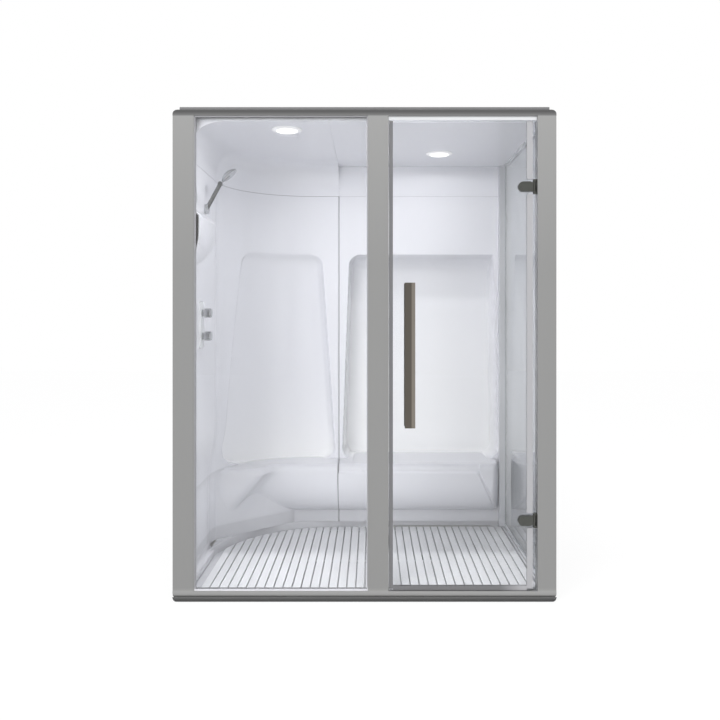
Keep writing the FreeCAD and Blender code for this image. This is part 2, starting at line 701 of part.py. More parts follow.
def seat_section(front, recess, side_share=0):
    """Section of a seat panel: foot, belly, seat, backrest, wall and top return.

    At a share of the height, front gives how far the belly stands in and recess how deep the backrest is.
    """
    crease, nose, seat = value["crease_level"], value["nose_level"], value["seat_level"]
    backrest_foot, recess_top = seat + value["seat_rise"], value["recess_top"]
    points = [(-front(0), value["step_level"])]
    points += [(-front(up), between(crease, nose, up)) for up in BELLY_SHARES]
    points += [(-front(1) * out, between(nose, seat, up)) for out, up in ROLL_SHARES]
    points += [(recess(up) * deep, between(backrest_foot, recess_top, up)) for deep, up in BACKREST_SHARES]
    points.append((0, value["dome_level"]))
    points = [(across + foot_offset(level, side_share), level) for across, level in points]
    lip = between(value["return_width"], value["wall_return"], side_share)
    foot, top = points[0], points[-1]
    return [(foot[0] + lip, foot[1]), *points, (top[0] + lip, top[1])]


# Shares along the rib and its blend, from the seam, where the seat panels have a section.
RIB_SHARES = (0, 0.12, 0.25, 0.45, 0.7, 1)


def beside_rib(from_seam, rib_top, depth):
    """Depth of the recess beside the rib, which is narrow at the seat and wider at the top."""
    def recess(up):
        along = (from_seam - between(value["rib_half"], value[rib_top], up)) / value["rib_blend"]
        return depth * (1 - (1 - min(1, max(0, along))) ** 3)

    return recess


# Shares along the blend at the right end: how far along, how much overhang, how much recess.
END_SHARES = ((0, 1, 1), (0.3, 0.97, 0.97), (0.6, 0.8, 0.78), (0.85, 0.45, 0.35), (1, 0, 0))


def right_seat_panel():
    """Right half of the back wall with its seat; the bench runs out towards the side glass."""
    full, deep = value["seat_overhang"], value["recess_depth"]
    seam, end = value["seam"], value["rear_profile_left"]
    reach, blend = value["right_rib_top"] + value["rib_blend"], value["end_blend"]
    rows = [(reach * share, full, deep) for share in RIB_SHARES]
    rows += [(end - seam - blend * (1 - along), full * out, deep * share) for along, out, share in END_SHARES]
    stations = []
    for from_seam, overhang, depth in rows:
        recess = beside_rib(from_seam, "right_rib_top", depth)
        section = seat_section(lambda up: overhang * belly_share(up), recess)
        stations.append((Vector(seam + from_seam, value["panel_face"], 0), Vector(0, 1, 0), section))
    keep_shape("right_seat_panel", moulded(stations))


CORNER_STEPS = 15
# Middle of the straight foot that cuts the corner, as a turn round it.
FOOT_TURN = math.radians(46)
# How far the side arm's edge moves towards the wall for each length down.
ARM_SLOPE = 0.857


def corner_stations(section):
    """Origin, outward direction and section at even turns round the rear left corner."""
    centre = Vector(value["corner_x"], value["corner_y"], 0)
    stations = []
    for number in range(CORNER_STEPS + 1):
        turn = math.pi / 2 * number / CORNER_STEPS
        outward = Vector(-math.sin(turn), math.cos(turn), 0)
        stations.append((centre + outward * value["corner_radius"], outward, section(turn)))
    return stations


def corner_front(turn):
    """How far the seat stands inward at a turn: the bench front, then the side arm, then none."""
    radius, nose = value["corner_radius"], value["nose_level"]
    sine = math.sin(max(turn, math.pi / 2 / CORNER_STEPS))
    cosine = math.cos(turn)
    arm_front = value["arm_run"]
    arm_side = value["corner_x"] - value["wall_face"] - value["arm_width"]
    foot = max(0, radius - value["foot_chord"] / math.cos(turn - FOOT_TURN))

    def front(up):
        inset = foot * (1 - up)
        if cosine * radius <= arm_front:
            return inset
        side = arm_side + ARM_SLOPE * (nose - value["crease_level"]) * (1 - up)
        bench = radius - value["seat_overhang"] * belly_share(up)
        reach = min(bench / cosine, max(side / sine, arm_front / cosine))
        return max(inset, radius - reach)

    return front


# Turns round the corner where the left recess ends, at the seat and at its top.
RECESS_TURNS = (math.radians(76), math.radians(54))
# Share of its depth that the left recess loses over a quarter turn.
RECESS_FADE_SHARE = 0.45


def corner_recess(turn, depth):
    """Depth of the left recess at a turn: shallower round the corner, with an edge that leans back."""
    shallower = depth * (1 - RECESS_FADE_SHARE * turn / (math.pi / 2))

    def recess(up):
        along = (between(*RECESS_TURNS, up) - turn) * value["corner_radius"] / value["rib_blend"]
        return shallower * (1 - (1 - min(1, max(0, along))) ** 3)

    return recess


def corner_seat_panel():
    """Left half of the back wall: its seat turns the rear left corner and ends in a side arm."""
    full, deep = value["seat_overhang"], value["left_recess_depth"]
    seam = value["seam"]
    reach = value["left_rib_top"] + value["rib_blend"]
    stations = []
    for share in RIB_SHARES:
        recess = beside_rib(reach * share, "left_rib_top", deep)
        section = seat_section(lambda up: full * belly_share(up), recess)
        stations.append((Vector(seam - reach * share, value["panel_face"], 0), Vector(0, 1, 0), section))

    def corner_section(turn):
        return seat_section(corner_front(turn), corner_recess(turn, deep), math.sin(turn) ** 2)

    stations += corner_stations(corner_section)
    end = Vector(value["wall_face"], value["wall_seam"], 0)
    stations.append((end, Vector(-1, 0, 0), seat_section(lambda up: 0, lambda up: 0, 1)))
    keep_shape("corner_seat_panel", moulded(stations))


# Shares of the wall's bulge over its height: how far up, how much of it.
BULGE_SHARES = ((0, 0), (0.18, 0.45), (0.6, 1), (0.85, 1), (1, 0))
# Share of the bulge's height by which its lower edge has risen at the wall's rear end.
BULGE_LIFT_SHARE = 0.55


def left_wall_panel():
    """Left wall: stepped out at its foot, with a bulge above the mixer that fades towards the back."""
    levels = ["sill_top", "foot_level", "wall_level"]
    high = value["bulge_top"]

    def section(rise):
        low = high - value["bulge_height"] * (1 - BULGE_LIFT_SHARE * (1 - rise))
        points = [(foot_offset(value[level], 1), value[level]) for level in levels]
        points += [(-value["bulge"] * rise * share, between(low, high, up)) for up, share in BULGE_SHARES]
        return points + [(0, value["dome_level"]), (value["wall_return"], value["dome_level"])]

    front = value["front"]
    rows = (
        (value["frame_front"], 1),
        (front + value["bulge_near"], 0.9),
        (value["bulge_end"], 0.5),
        (value["wall_seam"], 0),
    )
    stations = [(Vector(value["wall_face"], y, 0), Vector(-1, 0, 0), section(rise)) for y, rise in rows]
    wall = moulded(stations)
    reach = value["wall_inset"]
    for level in ("temperature_level", "flow_level"):
        start = Vector(value["wall_face"] - reach, value["mixer_y"], value[level])
        wall = wall.cut(Part.makeCylinder(value["spindle_radius"], 2 * reach, start, Vector(1, 0, 0)))
    keep_shape("left_wall_panel", wall)


# Shares of the cove between wall and ceiling: how far in, how far up.
COVE_SHARES = ((0, 0.3), (0.06, 0.55), (0.2, 0.77), (0.45, 0.92), (0.75, 0.985), (1, 1))


def ceiling_left():
    """Coved ceiling over the fixed glass, closed at the front, with an opening for its light."""
    low, high = value["dome_level"], value["ceiling_level"]
    curve = [(-value["cove"] * across, between(low, high, up)) for across, up in COVE_SHARES]
    inset = value["cove"] + value["sheet_thickness"]

    def section(turn):
        lip = between(value["return_width"], value["wall_return"], math.sin(turn) ** 2)
        return [(lip, low), (0, low), *curve, (-inset, high)]

    back, left = Vector(0, 1, 0), Vector(-1, 0, 0)
    first = (Vector(value["seam"], value["panel_face"], 0), back, section(0))
    last = (Vector(value["wall_face"], value["frame_front"], 0), left, section(math.pi / 2))
    stations = [first, *corner_stations(section), last]
    rim = [origin - outward * inset + Vector(0, 0, high) for origin, outward, _ in stations]
    rim.append(Vector(value["seam"], value["frame_front"], high))
    flat = Part.Face(Part.makePolygon(rim + rim[:1])).extrude(Vector(0, 0, value["sheet_thickness"]))
    corner, edge, flange = last[0], value["seam"], value["flange_top"]
    apron = [corner + left * across + Vector(0, 0, level) for across, level in last[2][1:]]
    apron += [Vector(edge, corner.y, level) for level in (high, flange)]
    apron.append(Vector(corner.x, corner.y, flange))
    front = Part.Face(Part.makePolygon(apron + apron[:1])).extrude(back * value["sheet_thickness"])
    start = Vector(value["left_light_offset"], value["front"] + value["left_light_setback"], low)
    opening = Part.makeCylinder(value["light_opening"], 2 * (high - low), start)
    keep_shape("ceiling_left", moulded(stations).fuse([flat, front]).cut(opening).removeSplitter())


def ceiling_right():
    """Flat ceiling over the door with an upright strip at the back and an opening for its light."""
    plate = ("ceiling_level", "ceiling_top")
    blank = fuse(
        "ceiling_right_blank",
        block("ceiling_right_main", ("seam", "rear_profile_left"), ("frame_front", "panel_back"), plate),
        block("ceiling_right_edge", ("rear_profile_left", "channel_left"),
              ("frame_front", "rear_profile_front"), plate),
        block("ceiling_right_strip", ("seam", "rear_profile_left"), ("panel_face", "panel_back"),
              ("dome_level", "ceiling_level")),
        block("ceiling_right_flange", ("seam", "rear_profile_left"),
              ("frame_front", "frame_front + sheet_thickness"), ("ceiling_level", "flange_top")),
    )
    keep(cut("ceiling_right", blank, rod(
        "ceiling_right_opening", "z",
        ("right_light_offset", "front + right_light_setback", "ceiling_level - overrun"),
        "light_opening", "sheet_thickness + 2 * overrun",
    )))


def panels():
    """All moulded panels and the batten behind the seam between the two seats."""
    right_seat_panel()
    corner_seat_panel()
    left_wall_panel()
    ceiling_left()
    ceiling_right()
    keep(block("seam_batten", ("seam - batten_width / 2", "seam + batten_width / 2"),
               ("panel_back", "panel_back + batten_thickness"),
               ("seat_level + return_width", "dome_level - sheet_thickness")))


# Shares of a light's lens: how much of its radius, how much of its drop.
LENS_SHARES = ((0.86, 0.72), (0.6, 0.92), (0.3, 0.985))


def lights():
    """Two recessed downlights: trim ring, bowed lens and housing, with one driver above the ceiling."""
    trims, lenses, housings = [], [], []
    for side in ("left", "right"):
        at = (f"{side}_light_offset", f"front + {side}_light_setback", "ceiling_level")
        trims.append(turned(f"{side}_light_trim", "z", at, [
            ("light_opening", "0"), ("light_opening", "-trim_drop"),
            ("(light_opening + light_radius) / 2", "-trim_drop"),
            ("light_radius", "-trim_drop / 3"), ("light_radius", "0"),
        ]))
        bow = [(f"{out} * light_opening", f"-{down} * lens_drop") for out, down in LENS_SHARES]
        lenses.append(turned(f"{side}_light_lens", "z", at, [
            ("0", "0"), ("light_opening", "0"), ("light_opening", "-trim_drop"), *bow, ("0", "-lens_drop"),
        ]))
        inner, top = "light_opening - housing_wall", "housing_height - housing_wall"
        housings.append(turned(f"{side}_light_housing", "z", at, [
            (inner, "0"), ("light_opening", "0"), ("light_opening", "housing_height"),
            ("0", "housing_height"), ("0", top), (inner, top),
        ]))
    group("light_trims", trims)
    group("light_lenses", lenses)
    group("light_housings", housings)
    keep(block("light_driver", ("driver_left", "driver_left + driver_length"),
               ("front + driver_setback", "front + driver_setback + driver_width"),
               ("ceiling_top", "ceiling_top + driver_height")))


# Shares of a knob's half section: how much of its radius, how much of its length.
KNOB_SHARES = ((0.72, 0), (0.8, 0.16), (1, 0.3), (1, 0.84), (0.86, 1))
SPINDLE_SHARE = 0.6
KNOB_BORE_SHARE = 0.65


def mixer():
    """Mixer behind the left wall, its cover plate and the two knobs that turn on its spindles."""
    valve_face = "outer_left + outer_sheet"
    half_height = "(tail_spacing / 2 + valve_width / 2)"
    pieces = [block("valve_block", (valve_face, "wall_back"),
                    ("mixer_y - valve_width / 2", "mixer_y + valve_width / 2"),
                    (f"mixer_level - {half_height}", f"mixer_level + {half_height}"))]
    for name, level in TAIL_LEVELS.items():
        pieces.append(rod(f"{name}_tail", "x", ("-half_width", "mixer_y", level),
                          "tail_radius", "outer_inset"))
        pieces.append(rod(f"{name}_collar", "x", ("outer_left", "mixer_y", level),
                          "collar_radius", "outer_sheet"))
    levels = ("temperature", "flow")
    seat = "plate_face + running_gap"
    for name in levels:
        pieces.append(rod(f"{name}_spindle", "x", ("wall_back", "mixer_y", f"{name}_level"), "spindle_radius",
                          f"{seat} + {SPINDLE_SHARE} * knob_length - wall_back"))
    keep(fuse("mixer_body", *pieces))
    plate = block("mixer_plate_blank", ("wall_face", "plate_face"),
                  ("mixer_y - plate_width / 2", "mixer_y + plate_width / 2"),
                  ("mixer_level - plate_height / 2", "mixer_level + plate_height / 2"))
    keep(cut("mixer_plate", plate, *[
        rod(f"{name}_plate_hole", "x", ("wall_face - overrun", "mixer_y", f"{name}_level"), "spindle_radius",
            "plate_thickness + 2 * overrun")
        for name in levels
    ]))
    bore, depth = "spindle_radius + pin_clearance", f"{KNOB_BORE_SHARE} * knob_length"
    rim = [(f"{out} * knob_radius", f"{along} * knob_length") for out, along in KNOB_SHARES]
    for name in levels:
        keep(turned(f"{name}_knob", "x", (seat, "mixer_y", f"{name}_level"), [
            (bore, "0"), *rim, ("0", "knob_length"), ("0", depth), (bore, depth),
        ]))


HEAD_SLOPE = 40
# Shares of the shower head's half section: how much of its radius, how much of its height.
HEAD_SHARES = ((0.94, 0), (1, 0.1), (1, 0.3), (0.78, 0.62), (0.4, 0.95))


def shower():
    """Wall bracket, slanting arm that ends in a fork, and a head that tilts on a pin in the fork."""
    foot = ("arm_foot", "shower_y", "shower_level")
    lean = Rotation(Vector(0, 1, 0), math.degrees(math.atan2(value["arm_reach"], value["arm_rise"])))
    arm = doc.addObject("Part::Cylinder", "shower_arm_tube")
    bind(arm, Radius="arm_radius", Height="sqrt(arm_reach ^ 2 + arm_rise ^ 2)")
    place(arm, *foot, rotation=lean)
    boss = rod("shower_bracket_blank", "x", ("wall_face", *foot[1:]), "bracket_radius", "bracket_height")
    keep(cut("shower_bracket", boss, arm))

    def cross_rod(label, radius, width):
        """A cylinder across the fork, centred on the tilt axis."""
        return rod(label, "y", ("head_x", f"shower_y - ({width}) / 2", "head_level"), radius, width)

    slot = "tongue_width + 2 * fork_gap"
    across = f"{slot} + 2 * fork_width"
    solid_fork = fuse("shower_fork_blank", arm, cross_rod("shower_fork_rod", "fork_radius", across))
    fork = cut("shower_fork", solid_fork, cross_rod("shower_fork_slot", "fork_radius + fork_gap", slot))
    keep(fuse("shower_arm", fork, cross_rod("shower_tilt_pin", "tilt_pin_radius", across)))

    slope = math.radians(HEAD_SLOPE)
    along = (math.cos(slope), math.sin(slope))
    neck = doc.addObject("Part::Cylinder", "shower_neck")
    bind(neck, Radius="neck_radius", Height="head_reach")
    place(neck, "head_x", "shower_y", "head_level", Rotation(Vector(0, 1, 0), 90 - HEAD_SLOPE))
    rose = turned("shower_rose", "z", ("0", "0", "0"), [
        ("0", "0"),
        *[(f"{out} * head_radius", f"{up} * head_height") for out, up in HEAD_SHARES],
        ("0", "head_height"),
    ])
    place(rose, f"head_x + {along[0]} * head_reach", "shower_y", f"head_level + {along[1]} * head_reach",
          Rotation(Vector(0, 1, 0), -HEAD_SLOPE))
    head = fuse("shower_head_blank", cross_rod("shower_tongue", "fork_radius", "tongue_width"), neck, rose)
    keep(cut("shower_head", head, cross_rod("shower_tilt_bore", "tilt_pin_radius + pin_clearance",
                                            "tongue_width + 2 * overrun")))


def steam():
    """Steam generator on the step below the right seat, and the pipe that it feeds behind the slats."""
    keep(block("steam_generator",
               ("generator_offset - generator_length / 2", "generator_offset + generator_length / 2"),
               ("generator_front", "generator_front + generator_width"),
               ("step_level", "step_level + generator_height")))
    keep(fuse(
        "steam_pipe",
        rod("steam_outlet", "x",
            ("steam_pipe_left", "steam_pipe_y", "steam_pipe_level"),
            "steam_pipe_radius", "generator_offset + steam_pipe_reach - steam_pipe_left"),
        rod("steam_feed", "y", ("generator_offset", "steam_pipe_y", "steam_pipe_level"), "feed_radius",
            "feed_y - steam_pipe_y"),
        rod("steam_riser", "z", ("generator_offset", "feed_y", "steam_pipe_level - riser_radius"),
            "riser_radius", "step_level - steam_pipe_level + riser_radius"),
    ))


def check_and_write():
    """Stops on any failed object, then writes each sub-part to its own file."""
    doc.recompute()
    failed = [item.Label for item in doc.Objects if {"Invalid", "Error"} & set(item.State)]
    for node in nodes:
        if node.Shape.isNull() or not node.Shape.isValid():
            failed.append(node.Label)
    if failed:
        raise ValueError("failed: " + ", ".join(failed))
    os.makedirs("parts", exist_ok=True)
    for node in nodes:
        node.Shape.exportStep(os.path.join("parts", node.Label + ".step"))
    print(len(nodes), "sub-parts written")


frame()
floor()
glazing()
door()
panels()
lights()
mixer()
shower()
steam()
check_and_write()
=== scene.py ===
"""Looks of the steam sauna cabin in metres: shells, slats, fittings, materials, light and camera."""

import json
import math

import bmesh
import bpy
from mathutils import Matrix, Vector
from mathutils.geometry import interpolate_bezier


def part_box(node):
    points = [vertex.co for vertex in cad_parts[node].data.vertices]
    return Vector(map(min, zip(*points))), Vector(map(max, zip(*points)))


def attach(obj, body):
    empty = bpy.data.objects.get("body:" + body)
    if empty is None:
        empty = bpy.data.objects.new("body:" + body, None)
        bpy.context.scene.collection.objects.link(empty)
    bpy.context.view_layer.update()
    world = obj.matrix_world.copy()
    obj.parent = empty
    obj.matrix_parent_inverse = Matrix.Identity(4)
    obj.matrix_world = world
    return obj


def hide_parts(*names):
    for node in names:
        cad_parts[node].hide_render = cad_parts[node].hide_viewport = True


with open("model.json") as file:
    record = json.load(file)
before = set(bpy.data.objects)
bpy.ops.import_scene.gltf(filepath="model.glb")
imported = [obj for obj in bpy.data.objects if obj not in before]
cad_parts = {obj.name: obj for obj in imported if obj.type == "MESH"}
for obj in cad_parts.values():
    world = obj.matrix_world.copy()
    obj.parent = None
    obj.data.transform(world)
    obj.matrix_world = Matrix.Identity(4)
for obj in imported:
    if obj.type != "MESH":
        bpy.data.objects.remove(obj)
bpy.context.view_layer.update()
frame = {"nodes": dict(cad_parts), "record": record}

nodes = frame["nodes"]


def low(node):
    """Lowest corner of a solid."""
    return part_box(node)[0]


def high(node):
    """Highest corner of a solid."""
    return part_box(node)[1]


# Moulded sheets, read off the frame where the frame has them.
SHEET = 0.006
STRIP_SHEET = SHEET / 3
WALL_FACE = low("mixer_plate").x
PANEL_FACE = high("ceiling_right").y - SHEET
FRAME_FRONT = low("ceiling_left").y
SEAM = low("ceiling_right").x
PANEL_END = high("right_seat_panel").x
WALL_SEAM = high("left_wall_panel").y
STEP_LEVEL = low("right_seat_panel").z
DOME_LEVEL = high("corner_seat_panel").z
CEILING_LEVEL = low("light_driver").z - SHEET
FLANGE_TOP = high("ceiling_right").z
SILL_TOP = low("left_wall_panel").z
GRID_STEP = 0.006
FINE_STEP = 0.002
SEAM_GAP = 0.0025
LEVEL_GAP = 0.0012

# The bench and its backrest.
SEAT_OVERHANG = 0.150
NOSE_LEVEL = 0.393
SEAT_LEVEL = 0.430
BELLY_FOOT_POWER = 2.2
BELLY_NOSE_POWER = 0.6
BACKREST_FOOT = 0.438
RECESS_TOP = 1.630
CREASE_LEVEL = 0.140
ROLL_DEPTH = 0.033
RIGHT_RECESS = 0.220
LEFT_RECESS = 0.060
RIB_HALF = 0.017
LEFT_RIB_TOP = 0.100
RIGHT_RIB_TOP = 0.060
LEFT_BLEND = 0.050
RIGHT_BLEND = 0.022
RECESS_CORNER = 0.065
RETURN_WIDTH = 0.040
WALL_RETURN = 0.014

# The rear left corner and the side arm of its seat.
CORNER_RADIUS = 0.480
CORNER_X = WALL_FACE + CORNER_RADIUS
CORNER_Y = PANEL_FACE - CORNER_RADIUS
RECESS_TURNS = (math.radians(76), math.radians(54))
RECESS_FADE_SHARE = 0.45
RECESS_END_CORNER = 0.220
RECESS_END_STRETCH = 1.45
FOOT_CHORD = 0.409
FOOT_TURN = math.radians(46)
ARM_SOFT_TURN = math.radians(50)
ARM_SOFT_START = 0.6
LEAST_SLOPE = 0.02
ARM_FRONT = 0.177
ARM_SIDE = 0.244
ARM_UNDERCUT = 0.857
FOOT_STEP = 0.037
FOOT_TOP = 0.400
FOOT_FADE = 0.700

# The right end of the bench.
END_ROUND = 0.054
END_MARGIN = 0.004
RECESS_END_TOP = 0.030
RECESS_END_BLEND = 0.020
END_CORNER = 0.070
END_ROLL = 0.030
END_DROP_SHARE = 0.7
LINE_START = 0.138
LINE_FOOT = 0.140
LINE_END = 0.020
LINE_DEPTH = 0.009
LINE_HALF = 0.008


def smooth(share):
    """An S curve from 0 to 1."""
    share = min(1, max(0, share))
    return share * share * (3 - 2 * share)


def mix(first, last, share):
    """The value at a share of the way from first to last."""
    return first + (last - first) * share


def steps(first, last, size):
    """Even places from first to last, about one size apart."""
    count = max(1, math.ceil(abs(last - first) / size))
    return [mix(first, last, number / count) for number in range(count + 1)]


def flowing(points, counts):
    """A smooth line through points in a plane, with a count of parts for each span."""
    line = [points[0]]
    tangents = []
    for number, point in enumerate(points):
        before = points[max(number - 1, 0)]
        after = points[min(number + 1, len(points) - 1)]
        inward = (Vector(point) - Vector(before)).normalized()
        onward = (Vector(after) - Vector(point)).normalized()
        tangents.append((inward + onward).normalized())
    for number, (first, last) in enumerate(zip(points, points[1:])):
        run = (Vector(last) - Vector(first)).length
        leaving = Vector(first) + tangents[number] * run / 3
        coming = Vector(last) - tangents[number + 1] * run / 3
        knots = [Vector((*point, 0)) for point in (first, leaving, coming, last)]
        curve = interpolate_bezier(*knots, counts[number] + 1)
        line += [tuple(point.xy) for point in curve[1:]]
    return line


def grid(rows):
    """A mesh of quads through rows of points that all have the same count."""
    width = len(rows[0])
    points = [point for row in rows for point in row]
    faces = []
    for row in range(len(rows) - 1):
        for column in range(width - 1):
            first = row * width + column
            faces.append((first, first + 1, first + width + 1, first + width))
    mesh = bpy.data.meshes.new("grid")
    mesh.from_pydata(points, [], faces)
    return mesh


MERGE_DISTANCE = 0.00001
JOIN_DISTANCE = GRID_STEP / 100


def joined_grids(parts, distance):
    """One mesh from grids of rows, joined where their points lie within a distance, facing out."""
    joined = bmesh.new()
    for rows in parts:
        joined.from_mesh(grid(rows))
    bmesh.ops.remove_doubles(joined, verts=joined.verts, dist=distance)
    bmesh.ops.recalc_face_normals(joined, faces=joined.faces)
    mesh = bpy.data.meshes.new("joined")
    joined.to_mesh(mesh)
    joined.free()
    return mesh


def face_room(mesh):
    """Turns a sheet's faces towards the middle of the cabin."""
    room = (low("shower_tray") + high("ceiling_right")) / 2
    mesh.update()
    facing = sum(face.normal.dot(room - face.center) * face.area for face in mesh.polygons)
    if facing < 0:
        mesh.flip_normals()


SHARP_ANGLE = math.radians(38)


def soften(mesh):
    """Smooth shading, with edges kept where the surface turns sharply."""
    mesh.shade_smooth()
    mesh.set_sharp_from_angle(angle=SHARP_ANGLE)


def piece(name, mesh, body, *stood_for):
    """An object that rides on a body and stands for any solids named."""
    mesh.name = name
    item = bpy.data.objects.new(name, mesh)
    bpy.context.scene.collection.objects.link(item)
    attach(item, body)
    if stood_for:
        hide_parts(*stood_for)
    return item


def thicken(item, thickness):
    """Gives a sheet its thickness behind its face."""
    sheet = item.modifiers.new("sheet", "SOLIDIFY")
    sheet.thickness = thickness
    sheet.offset = -1
    return sheet


def shell(name, mesh, node, backrest=()):
    """A moulded sheet: its face shows, and its thickness goes behind it.

    backrest says for each point how much painted light it has, which paints the backrest whiter.
    """
    face_room(mesh)
    soften(mesh)
    if backrest:
        mesh.attributes.new("backrest", "FLOAT", "POINT").data.foreach_set("value", backrest)
    item = piece(name, mesh, "cabin", node)
    mesh.materials.append(MATERIALS["white_acrylic"])
    mesh.materials.append(MATERIALS["laminate_back"])
    thicken(item, SHEET).material_offset = 1
    return item


# Shares of the backrest: how deep, how far up from its foot to the top of the recess.
BACKREST_SHARES = (
    (0.95, 0), (0.985, 0.01), (1, 0.04), (0.97, 0.3), (0.86, 0.72),
    (0.7, 0.93), (0.42, 0.972), (0.12, 0.992), (0, 1),
)
BACKREST_COUNTS = (4, 8, 24, 30, 18, 10, 8, 6)
WALL_COUNT = 24
FOOT_COUNT = 6
BELLY_COUNT = 75
ROLL_COUNT = 12
SEAT_COUNT = 20


def belly_up(level):
    """Share of the way up the bench front, from its crease to its nose."""
    return min(1, max(0, (level - CREASE_LEVEL) / (NOSE_LEVEL - CREASE_LEVEL)))


def belly_share(level):
    """How much of the overhang the bench front has at a level: round below, upright at the nose."""
    return (1 - (1 - belly_up(level)) ** BELLY_FOOT_POWER) ** BELLY_NOSE_POWER


def wall_step(level, side_share):
    """How far the wall steps outward near the floor."""
    return side_share * FOOT_STEP * (1 - smooth((level - FOOT_TOP) / (FOOT_FADE - FOOT_TOP)))


def seat_section(front, recess, side_share=0, gap=0):
    """Section of a seat panel: foot, belly, roll, seat, backrest, wall and top return.

    front(level) is how far the bench stands inward at a level up to its nose. recess is a pair: the
    backrest's depth, and a function for the share of that depth at a level.
    """
    depth, share_at = recess
    levels = [mix(STEP_LEVEL, CREASE_LEVEL, part / FOOT_COUNT) for part in range(FOOT_COUNT)]
    levels += [mix(CREASE_LEVEL, NOSE_LEVEL, (part / BELLY_COUNT) ** 2) for part in range(BELLY_COUNT + 1)]
    belly = [(-front(level), level) for level in levels]
    nose = front(NOSE_LEVEL)
    roll_depth = min(ROLL_DEPTH, nose)
    roll = []
    for part in range(1, ROLL_COUNT + 1):
        turn = math.pi / 2 * part / ROLL_COUNT
        roll.append((-nose + roll_depth * (1 - math.cos(turn)),
                     mix(NOSE_LEVEL, SEAT_LEVEL, math.sin(turn))))
    rest = [(depth * deep, mix(BACKREST_FOOT, RECESS_TOP, up)) for deep, up in BACKREST_SHARES]
    back = [(across * share_at(level), level) for across, level in flowing(rest, BACKREST_COUNTS)]
    seat = [(mix(roll[-1][0], back[0][0], part / SEAT_COUNT),
             mix(SEAT_LEVEL, BACKREST_FOOT, part / SEAT_COUNT)) for part in range(1, SEAT_COUNT)]
    top = DOME_LEVEL - gap
    wall = [(0, mix(RECESS_TOP, top, part / WALL_COUNT)) for part in range(1, WALL_COUNT + 1)]
    points = [(across + wall_step(level, side_share), level)
              for across, level in (*belly, *roll, *seat, *back, *wall)]
    lip = mix(RETURN_WIDTH, WALL_RETURN, side_share)
    return [(points[0][0] + lip, STEP_LEVEL), *points, (points[-1][0] + lip, top)]


# How quickly the painted light on the right and left backrests fades towards the top of the recess.
RIGHT_FADE = 0.6
LEFT_FADE = 5


def backrest_light_shares(section, full_depth, fade, side_share=0):
    """How much painted light, which paints the backrest whiter, each point of a section has: most where it
    is deep and low.
    """
    shares = []
    for across, level in section:
        depth = across - wall_step(level, side_share)
        inside = BACKREST_FOOT <= level < RECESS_TOP
        shares.append(smooth(depth / full_depth) * (1 - recess_up(level)) ** fade if inside else 0)
    return shares


def standing(origin, outward, section):
    """A section of (outward, level) points stood up at a place in plan."""
    return [Vector((origin[0] + outward[0] * across, origin[1] + outward[1] * across, level))
            for across, level in section]


def corner_cut(reach, radius):
    """How far a rounded corner of the recess stands in at a height from its end."""
    left = radius - min(radius, max(0, reach))
    return radius - math.sqrt(radius ** 2 - left ** 2)


def edge_share(past_edge, blend):
    """How much of the recess there is at a distance past its edge: a quick curve."""
    along = min(1, max(0, past_edge / blend))
    return 1 - (1 - along) ** 3


def recess_up(level):
    """Share of the way up the recess."""
    return (level - BACKREST_FOOT) / (RECESS_TOP - BACKREST_FOOT)


def beside_rib(from_seam, rib_top, blend):
    """How much of the recess there is beside the rib, which is narrow at the seat and wider at the top."""
    def share(level):
        edge = mix(RIB_HALF, rib_top, recess_up(level))
        edge += corner_cut(level - BACKREST_FOOT, RECESS_CORNER)
        edge += corner_cut(RECESS_TOP - level, RECESS_CORNER)
        return edge_share(from_seam - edge, blend)

    return share


def right_front(place):
    """How far the right bench stands inward at each level, at a place along it."""
    run_out = PANEL_END - END_MARGIN
    past = min(1, max(0, (place - run_out + END_ROUND) / END_ROUND))
    full = SEAT_OVERHANG * math.sqrt(max(0, 1 - past * past))
    shoulder = NOSE_LEVEL + END_ROLL / 2 - corner_cut(run_out - place, END_CORNER)

    def front(level):
        up = (level - LINE_FOOT) / (NOSE_LEVEL - LINE_FOOT)
        line = mix(PANEL_END - LINE_END, PANEL_END - LINE_START, up)
        past_line = place - line
        near = abs(past_line) if past_line > 0 else min(-past_line, NOSE_LEVEL - level)
        groove = LINE_DEPTH * max(0, 1 - (near / LINE_HALF) ** 2) if up > 0 else 0
        over = min(1, max(0, (level - shoulder) / END_ROLL))
        return full * belly_share(level) * (1 - END_DROP_SHARE * over * over) - min(groove, full)

    return front


def right_end(place):
    """How much of the right recess there is near its right end, whose edge leans inward at the top."""
    def share(level):
        margin = mix(0, RECESS_END_TOP, recess_up(level)) + corner_cut(level - BACKREST_FOOT, RECESS_CORNER)
        return edge_share(PANEL_END - margin - place, RECESS_END_BLEND)

    return share


def right_seat_shell():
    """Right half of the back wall with its bench."""
    rows = []
    backrest = []
    rib_end = SEAM + RIGHT_RIB_TOP + RECESS_CORNER + RIGHT_BLEND
    places = steps(SEAM + SEAM_GAP, rib_end, FINE_STEP)
    places += steps(rib_end, PANEL_END - LINE_START, 2 * GRID_STEP)[1:]
    places += steps(PANEL_END - LINE_START, PANEL_END, FINE_STEP)[1:]
    for place in places:
        beside = beside_rib(place - SEAM, RIGHT_RIB_TOP, RIGHT_BLEND)
        ending = right_end(place)
        recess = (RIGHT_RECESS, lambda level: beside(level) * ending(level))
        section = seat_section(right_front(place), recess, 0, LEVEL_GAP)
        rows.append(standing((place, PANEL_FACE), (0, 1), section))
        backrest += backrest_light_shares(section, RIGHT_RECESS, RIGHT_FADE)
    return shell("right_seat_shell", grid(rows), "right_seat_panel", backrest)


SOFT_CORNER = 7


def soft_less(first, last):
    """The lesser of two lengths, with a soft change from one to the other."""
    return (first ** -SOFT_CORNER + last ** -SOFT_CORNER) ** (-1 / SOFT_CORNER)


def soft_more(first, last):
    """The greater of two lengths, with a soft change from one to the other."""
    return (first ** SOFT_CORNER + last ** SOFT_CORNER) ** (1 / SOFT_CORNER)


